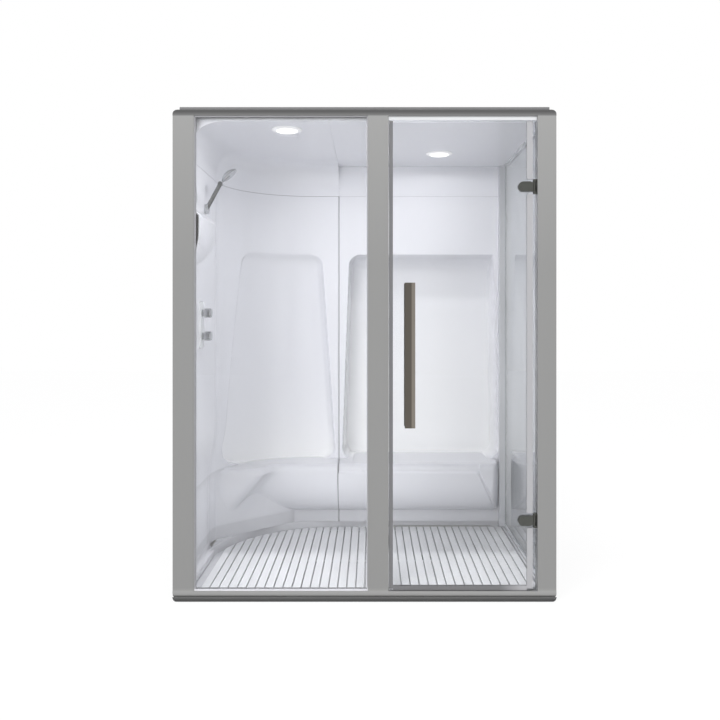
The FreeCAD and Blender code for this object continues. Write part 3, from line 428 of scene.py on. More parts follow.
def corner_front(turn):
    """How far the corner seat and its arm stand inward at each level, at a turn round the corner."""
    sine = max(math.sin(turn), LEAST_SLOPE)
    cosine = max(math.cos(turn), LEAST_SLOPE)
    foot = max(0, CORNER_RADIUS - FOOT_CHORD / math.cos(turn - FOOT_TURN))

    def front(level):
        bench = (CORNER_RADIUS - SEAT_OVERHANG * belly_share(level)) / cosine
        side = ARM_SIDE + ARM_UNDERCUT * (NOSE_LEVEL - level)
        arm = soft_more(side / sine, ARM_FRONT / cosine)
        reach = soft_less(bench, arm)
        softened = smooth(turn / ARM_SOFT_TURN - ARM_SOFT_START)
        reach = mix(reach, soft_less(reach, CORNER_RADIUS), softened)
        return max(foot * (1 - belly_up(level)), CORNER_RADIUS - reach)

    return front


def corner_stations(section, start, end):
    """Sections along the left back wall, round the rear left corner, and along the left wall."""
    rows = [standing((place, PANEL_FACE), (0, 1), section(0, place))
            for place in steps(start, CORNER_X, GRID_STEP)]
    for turn in steps(0, math.pi / 2, GRID_STEP / CORNER_RADIUS)[1:]:
        outward = (-math.sin(turn), math.cos(turn))
        origin = (CORNER_X + outward[0] * CORNER_RADIUS, CORNER_Y + outward[1] * CORNER_RADIUS)
        rows.append(standing(origin, outward, section(turn, CORNER_X)))
    rows += [standing((WALL_FACE, place), (-1, 0), section(math.pi / 2, CORNER_X))
             for place in steps(CORNER_Y, end, GRID_STEP)[1:]]
    return rows


def corner_seat_shell():
    """Left half of the back wall: its bench turns the corner and ends in a side arm."""
    def section(turn, place):
        beside = beside_rib(SEAM - place + CORNER_RADIUS * turn, LEFT_RIB_TOP, LEFT_BLEND)

        def share(level):
            edge = CORNER_RADIUS * (mix(*RECESS_TURNS, recess_up(level)) - turn)
            edge -= corner_cut((level - BACKREST_FOOT) * RECESS_END_STRETCH, RECESS_END_CORNER)
            edge -= corner_cut(RECESS_TOP - level, RECESS_CORNER)
            return beside(level) * edge_share(edge, LEFT_BLEND)

        depth = LEFT_RECESS * (1 - RECESS_FADE_SHARE * turn / (math.pi / 2))
        side_share = math.sin(turn) ** 2
        points = seat_section(corner_front(turn), (depth, share), side_share, LEVEL_GAP)
        backrest.extend(backrest_light_shares(points, LEFT_RECESS, LEFT_FADE, side_share))
        return points

    backrest = []
    rows = corner_stations(section, SEAM - SEAM_GAP, WALL_SEAM + SEAM_GAP)
    return shell("corner_seat_shell", grid(rows), "corner_seat_panel", backrest)


# The left wall's bulge: how far in, its top, its height in front and how much its foot rises at the back.
BULGE = 0.040
BULGE_HIGH = 1.760
BULGE_HEIGHT = 0.260
BULGE_LIFT_SHARE = 0.55
BULGE_TOP_QUICKNESS = 6
BULGE_FULL_SHARE = 0.4


def bulge_share(place, level):
    """How much of the bulge the left wall has: all at the front, none at the rear, quick at the top."""
    rise = math.cos(math.pi / 2 * (place - FRAME_FRONT) / (WALL_SEAM - FRAME_FRONT))
    down = (BULGE_HIGH - level) / (BULGE_HEIGHT * (1 - BULGE_LIFT_SHARE * (1 - rise)))
    if not 0 < down < 1:
        return 0
    fading = max(0, (down - BULGE_FULL_SHARE) / (1 - BULGE_FULL_SHARE))
    return rise * smooth(down * BULGE_TOP_QUICKNESS) * (1 - fading ** 2)


def left_wall_shell():
    """Left wall: stepped out at its foot, with a bulge above the mixer that fades towards the back."""
    top = DOME_LEVEL - LEVEL_GAP
    rows = []
    for place in steps(FRAME_FRONT, WALL_SEAM - SEAM_GAP, GRID_STEP):
        section = [(wall_step(level, 1) - BULGE * bulge_share(place, level), level)
                   for level in steps(SILL_TOP, top, GRID_STEP)]
        rows.append(standing((WALL_FACE, place), (-1, 0), [*section, (WALL_RETURN, top)]))
    return shell("left_wall_shell", grid(rows), "left_wall_panel")


# Shares of the coved strip at the left wall's foot: how far in, how far up.
STRIP_SHARES = (
    (0, 1), (0.05, 0.8), (0.18, 0.62), (0.45, 0.52), (0.8, 0.46), (0.95, 0.38), (1, 0.2), (1, 0),
)
STRIP_COUNTS = (4, 4, 4, 4, 4, 4, 4)
STRIP_WIDTH = 0.031
STRIP_HEIGHT = 0.062
STRIP_END = -0.060


def foot_strip():
    """Coved strip between the left wall's foot and the tray."""
    bottom = low("floor_slats").z
    section = [(STRIP_WIDTH * across, bottom + STRIP_HEIGHT * up)
               for across, up in flowing(STRIP_SHARES, STRIP_COUNTS)]
    rows = [standing((WALL_FACE - FOOT_STEP, place), (1, 0), section)
            for place in steps(FRAME_FRONT, STRIP_END, GRID_STEP)]
    mesh = grid(rows)
    face_room(mesh)
    soften(mesh)
    item = piece("foot_strip", mesh, "cabin")
    mesh.materials.append(MATERIALS["white_acrylic"])
    thicken(item, STRIP_SHEET)


# Shares of the cove between wall and ceiling: how far in, how far up.
COVE_SHARES = ((0, 0), (0, 0.3), (0.06, 0.55), (0.2, 0.77), (0.45, 0.92), (0.75, 0.985), (1, 1))
COVE_COUNTS = (6, 8, 8, 8, 6, 6)
COVE = 0.170


# Shares of the way from the ceiling's rim to its light where the flat part has a ring of points.
RING_SHARES = (0, 0.03, 0.15, 0.35, 0.6, 0.85, 1)
RIM_COUNT = 60


def rings(rim, centre, radius):
    """Rings of points from a rim to a round opening."""
    opening = [centre + (point - centre).normalized() * radius for point in rim]
    return [[point.lerp(inner, share) for point, inner in zip(rim, opening)] for share in RING_SHARES]


def ceiling_left_shell():
    """Coved ceiling over the fixed glass: closed at the front and the joint, open for its light."""
    foot = DOME_LEVEL + LEVEL_GAP
    curve = [(-COVE * across, mix(foot, CEILING_LEVEL, up))
             for across, up in flowing(COVE_SHARES, COVE_COUNTS)]

    def section(turn, place):
        return [(mix(RETURN_WIDTH, WALL_RETURN, math.sin(turn) ** 2), foot), *curve]

    rows = corner_stations(section, SEAM, FRAME_FRONT)
    rim = [row[-1] for row in rows]
    corner = Vector((SEAM, FRAME_FRONT, CEILING_LEVEL))
    front = [rim[-1].lerp(corner, part / RIM_COUNT) for part in range(1, RIM_COUNT + 1)]
    side = [corner.lerp(rim[0], part / RIM_COUNT) for part in range(1, RIM_COUNT + 1)]
    edge = rows[-1][1:] + front
    apron = [edge, [Vector((point.x, point.y, FLANGE_TOP)) for point in edge]]
    cove_end = rows[0][1:]
    cap = [cove_end, [Vector((SEAM, PANEL_FACE, point.z)) for point in cove_end]]
    flat = rings([*rim, *front, *side], *light_place("left"))
    mesh = joined_grids((rows, flat, apron, cap), JOIN_DISTANCE)
    return shell("ceiling_left_shell", mesh, "ceiling_left")


# Sealant in the joints between the moulded sheets.
SEALANT_HALF = 0.006
SEALANT_DEPTH = 0.0015


def bead(name, rows):
    """A bead of sealant, set a little behind the sheets that it joins."""
    mesh = grid(rows)
    face_room(mesh)
    soften(mesh)
    item = piece(name, mesh, "cabin")
    mesh.materials.append(MATERIALS["grey_gasket"])
    thicken(item, SEALANT_DEPTH)


def sealant():
    """Beads in the upright joints of the seat panels and in the level joint under the ceiling."""
    def front(level):
        return SEAT_OVERHANG * belly_share(level)

    section = seat_section(front, (0, lambda level: 0))[1:-1]
    origins = [(SEAM + side * SEALANT_HALF, PANEL_FACE + SEALANT_DEPTH) for side in (-1, 1)]
    bead("middle_bead", [standing(origin, (0, 1), section) for origin in origins])
    section = [(wall_step(level, 1), level) for level in steps(STEP_LEVEL, DOME_LEVEL, GRID_STEP)]
    origins = [(WALL_FACE - SEALANT_DEPTH, WALL_SEAM + side * SEALANT_HALF) for side in (-1, 1)]
    bead("wall_bead", [standing(origin, (-1, 0), section) for origin in origins])

    def level_section(turn, place):
        return [(SEALANT_DEPTH, DOME_LEVEL - SEALANT_HALF), (SEALANT_DEPTH, DOME_LEVEL + SEALANT_HALF)]

    bead("ceiling_bead", corner_stations(level_section, SEAM, FRAME_FRONT))
    level = [standing((place, PANEL_FACE), (0, 1), level_section(0, place)) for place in (SEAM, PANEL_END)]
    bead("strip_bead", level)


LIGHT_OPENING = 0.050
LIGHT_RADIUS = 0.071


def light_place(side):
    """Middle and radius of a light's opening in the ceiling."""
    first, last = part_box("light_trims")
    if side == "left":
        return Vector((first.x + LIGHT_RADIUS, first.y + LIGHT_RADIUS, CEILING_LEVEL)), LIGHT_OPENING
    return Vector((last.x - LIGHT_RADIUS, last.y - LIGHT_RADIUS, CEILING_LEVEL)), LIGHT_OPENING


# How the grain of a material is drawn out along an axis.
ALONG_POSTS = (1, 1, 0.02)
ALONG_RAILS = (0.02, 1, 1)
ALONG_SLATS = (1, 0.01, 1)
SLAT_CLOUDS = (1, 0.15, 1)
ALONG_STRANDS = (1, 1, 0.35)
ALONG_WOOD = (1, 1, 0.03)
EVEN = (1, 1, 1)

# How deep the relief of a material is.
DRAW_LINE_DEPTH = 0.0002
RIPPLE_DEPTH = 0.002
STRAND_DEPTH = 0.002
GRAIN_DEPTH = 0.0003
RIB_DEPTH = 0.0004
PEEL_DEPTH = 0.0004
WOOD_DEPTH = 0.0006


# Materials. Each is a short function; colours are linear.
def start_material(name, roughness, metallic=0.0):
    """A new material with its main shader."""
    material = bpy.data.materials.new(name)
    material.use_nodes = True
    shader = material.node_tree.nodes["Principled BSDF"]
    shader.inputs["Roughness"].default_value = roughness
    shader.inputs["Metallic"].default_value = metallic
    return material, shader


def noise(material, scale, stretch=EVEN, detail=3.0):
    """Noise over the surface in the object's own metres, drawn out along an axis by a small stretch."""
    tree = material.node_tree
    place = tree.nodes.new("ShaderNodeTexCoord")
    turn = tree.nodes.new("ShaderNodeMapping")
    turn.inputs["Scale"].default_value = stretch
    grain = tree.nodes.new("ShaderNodeTexNoise")
    grain.inputs["Scale"].default_value = scale
    grain.inputs["Detail"].default_value = detail
    tree.links.new(place.outputs["Object"], turn.inputs["Vector"])
    tree.links.new(turn.outputs["Vector"], grain.inputs["Vector"])
    return grain.outputs["Fac"]


def tint(material, shader, source, dark, light, spread=(0.3, 0.7)):
    """Base colour that goes from dark to light with a source."""
    ramp = material.node_tree.nodes.new("ShaderNodeValToRGB")
    for stop, place, colour in zip(ramp.color_ramp.elements, spread, (dark, light)):
        stop.position = place
        stop.color = (*colour, 1)
    material.node_tree.links.new(source, ramp.inputs["Fac"])
    material.node_tree.links.new(ramp.outputs["Color"], shader.inputs["Base Color"])


def vary_roughness(material, shader, source, least, most):
    """Roughness between two values with a source."""
    reach = material.node_tree.nodes.new("ShaderNodeMapRange")
    reach.inputs["To Min"].default_value = least
    reach.inputs["To Max"].default_value = most
    material.node_tree.links.new(source, reach.inputs["Value"])
    material.node_tree.links.new(reach.outputs["Result"], shader.inputs["Roughness"])


def bump(material, shader, source, strength, depth):
    """Small relief from a source."""
    relief = material.node_tree.nodes.new("ShaderNodeBump")
    relief.inputs["Strength"].default_value = strength
    relief.inputs["Distance"].default_value = depth
    material.node_tree.links.new(source, relief.inputs["Height"])
    material.node_tree.links.new(relief.outputs["Normal"], shader.inputs["Normal"])


def shade_of(colour, share):
    """A colour made lighter or darker by a share."""
    return tuple(min(1, part * share) for part in colour)


def brushed_metal(name, colour, roughness, stretch=ALONG_POSTS, stops=(), axis="Z"):
    """Satin metal with fine draw lines; stops are pairs of a place on an axis and a share of the colour."""
    material, shader = start_material(name, roughness, metallic=1.0)
    lines = noise(material, scale=900, stretch=stretch, detail=2.0)
    if stops:
        tint_along(material, shader, colour, axis, stops)
    else:
        clouds = noise(material, scale=2.2, detail=2.0)
        tint(material, shader, clouds, dark=shade_of(colour, 0.94), light=shade_of(colour, 1.05))
    vary_roughness(material, shader, lines, least=roughness - 0.07, most=roughness + 0.07)
    bump(material, shader, lines, strength=0.08, depth=DRAW_LINE_DEPTH)
    return material


def colour_along(material, colour, axis, stops):
    """A colour that changes along an axis; stops are pairs of a place and a share of the colour."""
    tree = material.node_tree
    place = tree.nodes.new("ShaderNodeTexCoord")
    axes = tree.nodes.new("ShaderNodeSeparateXYZ")
    reach = tree.nodes.new("ShaderNodeMapRange")
    first, last = stops[0][0], stops[-1][0]
    reach.inputs["From Min"].default_value = first
    reach.inputs["From Max"].default_value = last
    ramp = tree.nodes.new("ShaderNodeValToRGB")
    for where, share in stops[1:-1]:
        ramp.color_ramp.elements.new((where - first) / (last - first))
    for stop, (where, share) in zip(ramp.color_ramp.elements, stops):
        stop.color = (*shade_of(colour, share), 1)
    tree.links.new(place.outputs["Object"], axes.inputs["Vector"])
    tree.links.new(axes.outputs[axis], reach.inputs["Value"])
    tree.links.new(reach.outputs["Result"], ramp.inputs["Fac"])
    return ramp.outputs["Color"]


def tint_along(material, shader, colour, axis, stops):
    """Base colour that changes along an axis."""
    material.node_tree.links.new(colour_along(material, colour, axis, stops), shader.inputs["Base Color"])


# Heights on the frame and on the cornice and the share of their colour there.
# Painted light on the frame: painted shade darkens the foot of the posts and the sill, a painted highlight
# lightens the sill's top edge, and the posts are painted lighter towards the top.
FRAME_PAINTED_LIGHT_SHARES = (
    (0.006, 0.4), (0.024, 0.62), (0.031, 0.9), (0.046, 1.15), (0.06, 0.9), (1.5, 1), (2.15, 1.2),
)
# Painted highlight on the cornice: its lower edge is painted lighter than the rest of it.
CORNICE_PAINTED_HIGHLIGHT_SHARES = ((2.155, 2.0), (2.162, 1.5), (2.173, 0.95), (2.188, 0.8))

# Places across the handle and the share of its colour there.
# Painted highlight: beyond 0.209 m across, the handle is painted twice as light along its edge.
HANDLE_PAINTED_HIGHLIGHT_SHARES = ((0.17, 1), (0.205, 1), (0.209, 2), (0.22, 2))

# Heights on the mouldings and the share of their colour there.
# Painted light on the mouldings: painted shade darkens their lowest 0.15 m and the seat just below the
# backrest's foot, and the ceilings above 2 m are painted lighter.
ACRYLIC_PAINTED_LIGHT_SHARES = (
    (0.05, 0.76), (0.138, 0.78), (0.146, 0.9), (0.3, 0.98), (0.4, 0.94), (0.437, 0.85), (0.44, 1),
    (1.95, 1), (2.06, 1.06), (2.25, 1.06),
)


def gloss_acrylic(name, colour, white, roughness):
    """Moulded acrylic: a gloss face with a faint long ripple, painted shade and light by height, and
    painted light that makes it whiter where a shell marks its backrest.
    """
    material, shader = start_material(name, roughness)
    tree = material.node_tree
    ripple = noise(material, scale=9, detail=2.0)
    marked = tree.nodes.new("ShaderNodeAttribute")
    marked.attribute_name = "backrest"
    blend = tree.nodes.new("ShaderNodeMixRGB")
    blend.inputs["Color2"].default_value = (*white, 1)
    tree.links.new(marked.outputs["Fac"], blend.inputs["Fac"])
    tree.links.new(colour_along(material, colour, "Z", ACRYLIC_PAINTED_LIGHT_SHARES), blend.inputs["Color1"])
    tree.links.new(blend.outputs["Color"], shader.inputs["Base Color"])
    haze = noise(material, scale=40)
    vary_roughness(material, shader, haze, least=roughness - 0.03, most=roughness + 0.05)
    bump(material, shader, ripple, strength=0.05, depth=RIPPLE_DEPTH)
    shader.inputs["Specular IOR Level"].default_value = 0.5
    shader.inputs["Coat Weight"].default_value = 0.25
    shader.inputs["Coat Roughness"].default_value = 0.08
    return material


def glass_fibre(name, colour):
    """Sprayed glass fibre and resin on the back of a moulding."""
    material, shader = start_material(name, roughness=0.62)
    strands = noise(material, scale=140, stretch=ALONG_STRANDS, detail=5.0)
    tint(material, shader, strands, dark=shade_of(colour, 0.82), light=shade_of(colour, 1.1))
    bump(material, shader, strands, strength=0.5, depth=STRAND_DEPTH)
    return material


def moulded_plastic(name, colour, roughness):
    """Plain moulded plastic with a fine matt grain."""
    material, shader = start_material(name, roughness)
    grain = noise(material, scale=700, detail=2.0)
    clouds = noise(material, scale=6)
    tint(material, shader, clouds, dark=shade_of(colour, 0.95), light=shade_of(colour, 1.04))
    vary_roughness(material, shader, grain, least=roughness - 0.06, most=roughness + 0.08)
    bump(material, shader, grain, strength=0.12, depth=GRAIN_DEPTH)
    return material


def ribbed_plastic(name, colour):
    """Slat plastic with fine ribs along each slat."""
    material, shader = start_material(name, roughness=0.42)
    ribs = noise(material, scale=1400, stretch=ALONG_SLATS, detail=1.0)
    clouds = noise(material, scale=12, stretch=SLAT_CLOUDS)
    tint(material, shader, clouds, dark=shade_of(colour, 0.94), light=shade_of(colour, 1.03))
    vary_roughness(material, shader, ribs, least=0.34, most=0.5)
    bump(material, shader, ribs, strength=0.2, depth=RIB_DEPTH)
    return material


# Heights on the panes and the share of their colour there.
CLEAR_LEVEL_SHARES = ((0.05, 0.995), (2.16, 1))
# Painted shade and light on the side pane: its lower part is painted darker and its middle lighter.
TINTED_PAINTED_SHADE_SHARES = ((0.05, 0.62), (0.4, 0.68), (0.75, 1.02), (1.4, 1.13), (2.16, 1.06))


def pane_glass(name, colour, levels, bending=1.45):
    """Toughened glass that lets lamps through; a coated pane bends light more and so mirrors more."""
    material, shader = start_material(name, roughness=0.0)
    tree = material.node_tree
    tint_along(material, shader, colour, "Z", levels)
    shader.inputs["Transmission Weight"].default_value = 1.0
    shader.inputs["IOR"].default_value = bending
    clear = tree.nodes.new("ShaderNodeBsdfTransparent")
    path = tree.nodes.new("ShaderNodeLightPath")
    choice = tree.nodes.new("ShaderNodeMixShader")
    clear.inputs["Color"].default_value = (*colour, 1)
    tree.links.new(path.outputs["Is Shadow Ray"], choice.inputs["Fac"])
    tree.links.new(shader.outputs["BSDF"], choice.inputs[1])
    tree.links.new(clear.outputs["BSDF"], choice.inputs[2])
    tree.links.new(choice.outputs["Shader"], tree.nodes["Material Output"].inputs["Surface"])
    return material


# Places across the door and the share of the seals' colour there.
# Painted light: the seals by the hinges, at the door's right edge, are painted lighter than the same seals
# elsewhere.
SEAL_PAINTED_LIGHT_SHARES = ((0.1, 1), (0.6, 1), (0.7, 2.35), (0.8, 2.35))


def clear_vinyl(name, colour):
    """Smoky seal strip that lets a little light through, with painted light making it lighter by the
    hinges.
    """
    material, shader = start_material(name, roughness=0.45)
    tint_along(material, shader, colour, "X", SEAL_PAINTED_LIGHT_SHARES)
    shader.inputs["Transmission Weight"].default_value = 0.1
    shader.inputs["IOR"].default_value = 1.4
    return material


# Heights on the gasket and on the skirt and the share of their colour there.
GASKET_LEVEL_SHARES = ((0.05, 2.4), (0.056, 2.4), (0.06, 1), (2.16, 1))
# Painted shade and a painted highlight on the skirt: darkest near its foot, lighter along its top.
SKIRT_PAINTED_SHADE_SHARES = ((0.003, 0.75), (0.01, 0.6), (0.016, 0.85), (0.024, 1.5))


def rubber(name, colour, levels):
    """Matt gasket rubber; levels are pairs of a height and a share of the colour."""
    material, shader = start_material(name, roughness=0.7)
    tint_along(material, shader, colour, "Z", levels)
    bump(material, shader, noise(material, scale=500), strength=0.2, depth=GRAIN_DEPTH)
    return material


def polished_metal(name, colour, roughness):
    """Plated metal with faint cloudy wear."""
    material, shader = start_material(name, roughness, metallic=1.0)
    wear = noise(material, scale=45)
    haze = noise(material, scale=120)
    tint(material, shader, wear, dark=shade_of(colour, 0.93), light=shade_of(colour, 1.04))
    vary_roughness(material, shader, haze, least=roughness - 0.04, most=roughness + 0.06)
    return material


def coated_metal(name, colour, roughness):
    """Powder coat with its fine peel."""
    material, shader = start_material(name, roughness)
    peel = noise(material, scale=380)
    clouds = noise(material, scale=5)
    tint(material, shader, clouds, dark=shade_of(colour, 0.95), light=shade_of(colour, 1.04))
    vary_roughness(material, shader, peel, least=roughness - 0.05, most=roughness + 0.08)
    bump(material, shader, peel, strength=0.18, depth=PEEL_DEPTH)
    return material


def opal_lens(name, colour, strength):
    """Opal plastic that glows, faintly cloudy: lit from behind in the lens, painted light in the trim ring.
    """
    material, shader = start_material(name, roughness=0.25)
    tint(material, shader, noise(material, scale=30), dark=shade_of(colour, 0.96), light=colour)
    shader.inputs["Emission Color"].default_value = (*colour, 1)
    shader.inputs["Emission Strength"].default_value = strength
    return material


def planed_wood(name, colour):
    """Planed softwood with upright grain."""
    material, shader = start_material(name, roughness=0.6)
    grain = noise(material, scale=120, stretch=ALONG_WOOD, detail=5.0)
    tint(material, shader, grain, dark=shade_of(colour, 0.7), light=shade_of(colour, 1.15))
    bump(material, shader, grain, strength=0.3, depth=WOOD_DEPTH)
    return material


MATERIALS = {
    "satin_aluminium": brushed_metal(
        "satin_aluminium", (0.35, 0.35, 0.347), 0.42, ALONG_POSTS, FRAME_PAINTED_LIGHT_SHARES),
    "dark_aluminium": brushed_metal(
        "dark_aluminium", (0.135, 0.135, 0.135), 0.4, ALONG_RAILS, CORNICE_PAINTED_HIGHLIGHT_SHARES),
    "light_aluminium": brushed_metal("light_aluminium", (0.86, 0.87, 0.89), 0.36, ALONG_RAILS),
    "base_steel": coated_metal("base_steel", (0.5, 0.5, 0.5), 0.5),
    "outer_white": coated_metal("outer_white", (0.74, 0.74, 0.73), 0.45),
    "roof_grey": coated_metal("roof_grey", (0.13, 0.13, 0.132), 0.45),
    # The second colour of white_acrylic is the white of the painted light on the backrests.
    "white_acrylic": gloss_acrylic("white_acrylic", (0.824, 0.83, 0.872), (0.97, 0.975, 0.978), 0.2),
    "laminate_back": glass_fibre("laminate_back", (0.55, 0.53, 0.46)),
    "slat_white": ribbed_plastic("slat_white", (0.735, 0.745, 0.762)),
    "clear_glass": pane_glass("clear_glass", (0.978, 0.98, 0.982), CLEAR_LEVEL_SHARES),
    "tinted_glass": pane_glass("tinted_glass", (0.42, 0.44, 0.47), TINTED_PAINTED_SHADE_SHARES, 1.8),
    "grey_gasket": rubber("grey_gasket", (0.3, 0.3, 0.315), GASKET_LEVEL_SHARES),
    # The darkness of dark_rubber on the sill skirt is painted shade.
    "dark_rubber": rubber("dark_rubber", (0.05, 0.05, 0.05), SKIRT_PAINTED_SHADE_SHARES),
    "clear_seal": clear_vinyl("clear_seal", (0.13, 0.13, 0.135)),
    "hinge_metal": polished_metal("hinge_metal", (0.1, 0.103, 0.095), 0.34),
    "steel": polished_metal("steel", (0.5, 0.5, 0.49), 0.25),
    "bronze_bar": brushed_metal(
        "bronze_bar", (0.125, 0.112, 0.096), 0.4, ALONG_POSTS, HANDLE_PAINTED_HIGHLIGHT_SHARES, "X"),
    "batten_wood": planed_wood("batten_wood", (0.42, 0.28, 0.15)),
    "white_trim": moulded_plastic("white_trim", (0.82, 0.83, 0.85), 0.35),
    # The trim ring round each downlight is no lamp: its faint emission is painted light that makes it
    # lighter.
    "light_trim": opal_lens("light_trim", (0.8, 0.8, 0.81), 0.3),
    "light_lens": opal_lens("light_lens", (1.0, 0.98, 0.94), 1.0),
    "housing_metal": coated_metal("housing_metal", (0.42, 0.43, 0.44), 0.45),
    "grey_plastic": moulded_plastic("grey_plastic", (0.16, 0.16, 0.165), 0.5),
    "chrome": polished_metal("chrome", (0.52, 0.53, 0.54), 0.12),
    "dark_chrome": polished_metal("dark_chrome", (0.2, 0.2, 0.2), 0.2),
    "pipe_steel": polished_metal("pipe_steel", (0.52, 0.52, 0.5), 0.3),
}


# The slatted floor.
SLAT_WIDTH = 0.0357
SLAT_GAP = 0.0057
SLAT_ROUNDING = 0.002
SLAT_COUNT = 37
FOOT_RADIUS = 0.630
SLAT_END_GAP = 0.003


def slat_back(place):
    """Where a slat ends at the back: square along the wall, and on a curve in the rear left corner."""
    centre_x = WALL_FACE + FOOT_RADIUS
    centre_y = PANEL_FACE - FOOT_RADIUS
    straight = high("floor_slats").y
    if place >= centre_x:
        return straight
    reach = FOOT_RADIUS - SLAT_END_GAP
    return min(straight, centre_y + math.sqrt(reach ** 2 - (place - centre_x) ** 2))


def prism(joined, bottom, top):
    """A closed block between two rings of four corners."""
    lower = [joined.verts.new(point) for point in bottom]
    upper = [joined.verts.new(point) for point in top]
    joined.faces.new(lower[::-1])
    joined.faces.new(upper)
    for number in range(len(lower)):
        after = (number + 1) % len(lower)
        joined.faces.new((lower[number], lower[after], upper[after], upper[number]))


def slat_pieces():
    """Slats side by side, each with rounded edges, as one piece."""
    first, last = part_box("floor_slats")
    joined = bmesh.new()
    for number in range(SLAT_COUNT):
        left = first.x + number * (SLAT_WIDTH + SLAT_GAP)
        right = left + SLAT_WIDTH
        plan = ((left, first.y), (right, first.y), (right, slat_back(right)), (left, slat_back(left)))
        prism(joined, [(*point, first.z) for point in plan], [(*point, last.z) for point in plan])
    mesh = bpy.data.meshes.new("slats")
    joined.to_mesh(mesh)
    joined.free()
    item = piece("slat_boards", mesh, "cabin", "floor_slats")
    mesh.materials.append(MATERIALS["slat_white"])
    round_edges(item, SLAT_ROUNDING, segments=3)


ROUNDED_ANGLE = math.radians(40)


def round_edges(item, width, segments=2):
    """Rounds an object's edges; its own mesh stays as it is."""
    weld = item.modifiers.new("weld", "WELD")
    weld.merge_threshold = MERGE_DISTANCE
    rounding = item.modifiers.new("rounding", "BEVEL")
    rounding.width = width
    rounding.segments = segments
    rounding.limit_method = "ANGLE"
    rounding.angle_limit = ROUNDED_ANGLE
    rounding.harden_normals = True


# Shares of the dark skirt along the front sill's foot, a strip of painted shade: how far out, how far up.
SKIRT_SHARES = ((0, 1), (0.6, 0.96), (1, 0.8), (1, 0.45), (0.8, 0.18), (0.4, 0.03), (0, 0))
SKIRT_COUNTS = (3, 3, 3, 4, 3, 3)
SKIRT_DEPTH = 0.004
SKIRT_TOP = 0.024
SKIRT_BOTTOM = 0.003
SKIRT_CORNER = 0.018
SKIRT_LIFT_SHARE = 0.9


def skirt():
    """Dark skirt of painted shade along the foot of the front sill, rounded at both ends."""
    first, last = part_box("sill_front")
    section = flowing(SKIRT_SHARES, SKIRT_COUNTS)
    rows = []
    for place in steps(first.x, last.x, GRID_STEP / 2):
        cut = corner_cut(min(place - first.x, last.x - place), SKIRT_CORNER)
        bottom = mix(SKIRT_BOTTOM, SKIRT_TOP, cut / SKIRT_CORNER * SKIRT_LIFT_SHARE)
        rows.append([Vector((place, first.y - SKIRT_DEPTH * out, mix(bottom, SKIRT_TOP, up)))
                     for out, up in section])
    mesh = grid(rows)
    soften(mesh)
    item = piece("sill_shade_skirt", mesh, "cabin")
    mesh.materials.append(MATERIALS["dark_rubber"])
    thicken(item, STRIP_SHEET)


# Turned fittings: half sections as shares of a radius and of a length.
KNOB_SHARES = (
    (0.0, 0.0), (0.7, 0.0), (0.74, 0.02), (0.76, 0.06), (0.72, 0.1), (0.66, 0.12), (0.66, 0.2),
    (0.8, 0.22), (0.95, 0.26), (1.0, 0.31), (1.0, 0.5), (1.0, 0.7), (1.0, 0.86),
    (0.97, 0.94), (0.9, 0.985), (0.82, 1.0), (0.5, 0.985), (0.0, 0.98),
)
KNOB_GRIPS = 18
GRIP_DEPTH_SHARE = 0.045
GRIP_SPAN_SHARES = (0.3, 0.9)
GRIP_SHARPNESS = 3
TURNS = 144


def knob_pieces():
    """The two mixer knobs, turned in metal with shallow grips round the barrel."""
    for node in ("temperature_knob", "flow_knob"):
        first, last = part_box(node)
        length = last.x - first.x
        radius = (last.z - first.z) / 2
        middle = (first + last) / 2
        rows = []
        for turn in steps(0, 2 * math.pi, 2 * math.pi / TURNS):
            grip = GRIP_DEPTH_SHARE * (0.5 + 0.5 * math.cos(KNOB_GRIPS * turn)) ** GRIP_SHARPNESS
            row = []
            for out, along in KNOB_SHARES:
                gripped = GRIP_SPAN_SHARES[0] < along < GRIP_SPAN_SHARES[1]
                reach = radius * (out - (grip if gripped else 0))
                row.append(Vector((first.x + along * length, middle.y + reach * math.cos(turn),
                                   middle.z + reach * math.sin(turn))))
            rows.append(row)
        mesh = joined_grids((rows,), MERGE_DISTANCE)
        soften(mesh)
        item = piece(f"{node}_turned", mesh, node, node)
        item.data.materials.append(MATERIALS["chrome"])


# Rounding of the edges of solids that stay, by slot.
EDGE_ROUNDINGS = {
    "light_aluminium": 0.001, "bronze_bar": 0.002, "hinge_metal": 0.0012, "slat_white": 0.001,
    "housing_metal": 0.004, "grey_plastic": 0.002, "chrome": 0.0015, "white_acrylic": 0.001,
    "outer_white": 0.001, "roof_grey": 0.001, "base_steel": 0.001, "batten_wood": 0.001,
}


def dress_solids():
    """Materials for the solids, and rounded edges for those that stay."""
    for subpart in frame["record"]["subparts"]:
        node, slot = subpart["node"], subpart["material_slot"]
        item = nodes[node]
        item.data.materials.clear()
        item.data.materials.append(MATERIALS[slot])
        if slot in EDGE_ROUNDINGS and not item.hide_render:
            round_edges(item, EDGE_ROUNDINGS[slot])


# Stage: floor, world, lamps and camera.
FLOOR_HALF = 14.0


BEFORE_FIRST_BOUNCE = 0.5


def sum_node(tree, operation, *sources):
    """A step of arithmetic on one or two sources."""
    step = tree.nodes.new("ShaderNodeMath")
    step.operation = operation
    for socket, source in zip(step.inputs, sources):
        tree.links.new(source, socket)
    return step


def plain_path(tree):
    """1 for the camera's rays, straight or by mirror and glass, which see the plain white surround."""
    path = tree.nodes.new("ShaderNodeLightPath")
    mirrored = sum_node(tree, "MAXIMUM", path.outputs["Is Camera Ray"], path.outputs["Is Glossy Ray"])
    seen = sum_node(tree, "MAXIMUM", mirrored.outputs["Value"], path.outputs["Is Transmission Ray"])
    unlit = sum_node(tree, "LESS_THAN", path.outputs["Diffuse Depth"])
    unlit.inputs[1].default_value = BEFORE_FIRST_BOUNCE
    both = sum_node(tree, "MULTIPLY", seen.outputs["Value"], unlit.outputs["Value"])
    return both.outputs["Value"]


FLOOR_GLOW_SHARE = 0.9
FLOOR_DARK = (0.86, 0.86, 0.86)
FLOOR_LIGHT = (0.88, 0.88, 0.88)


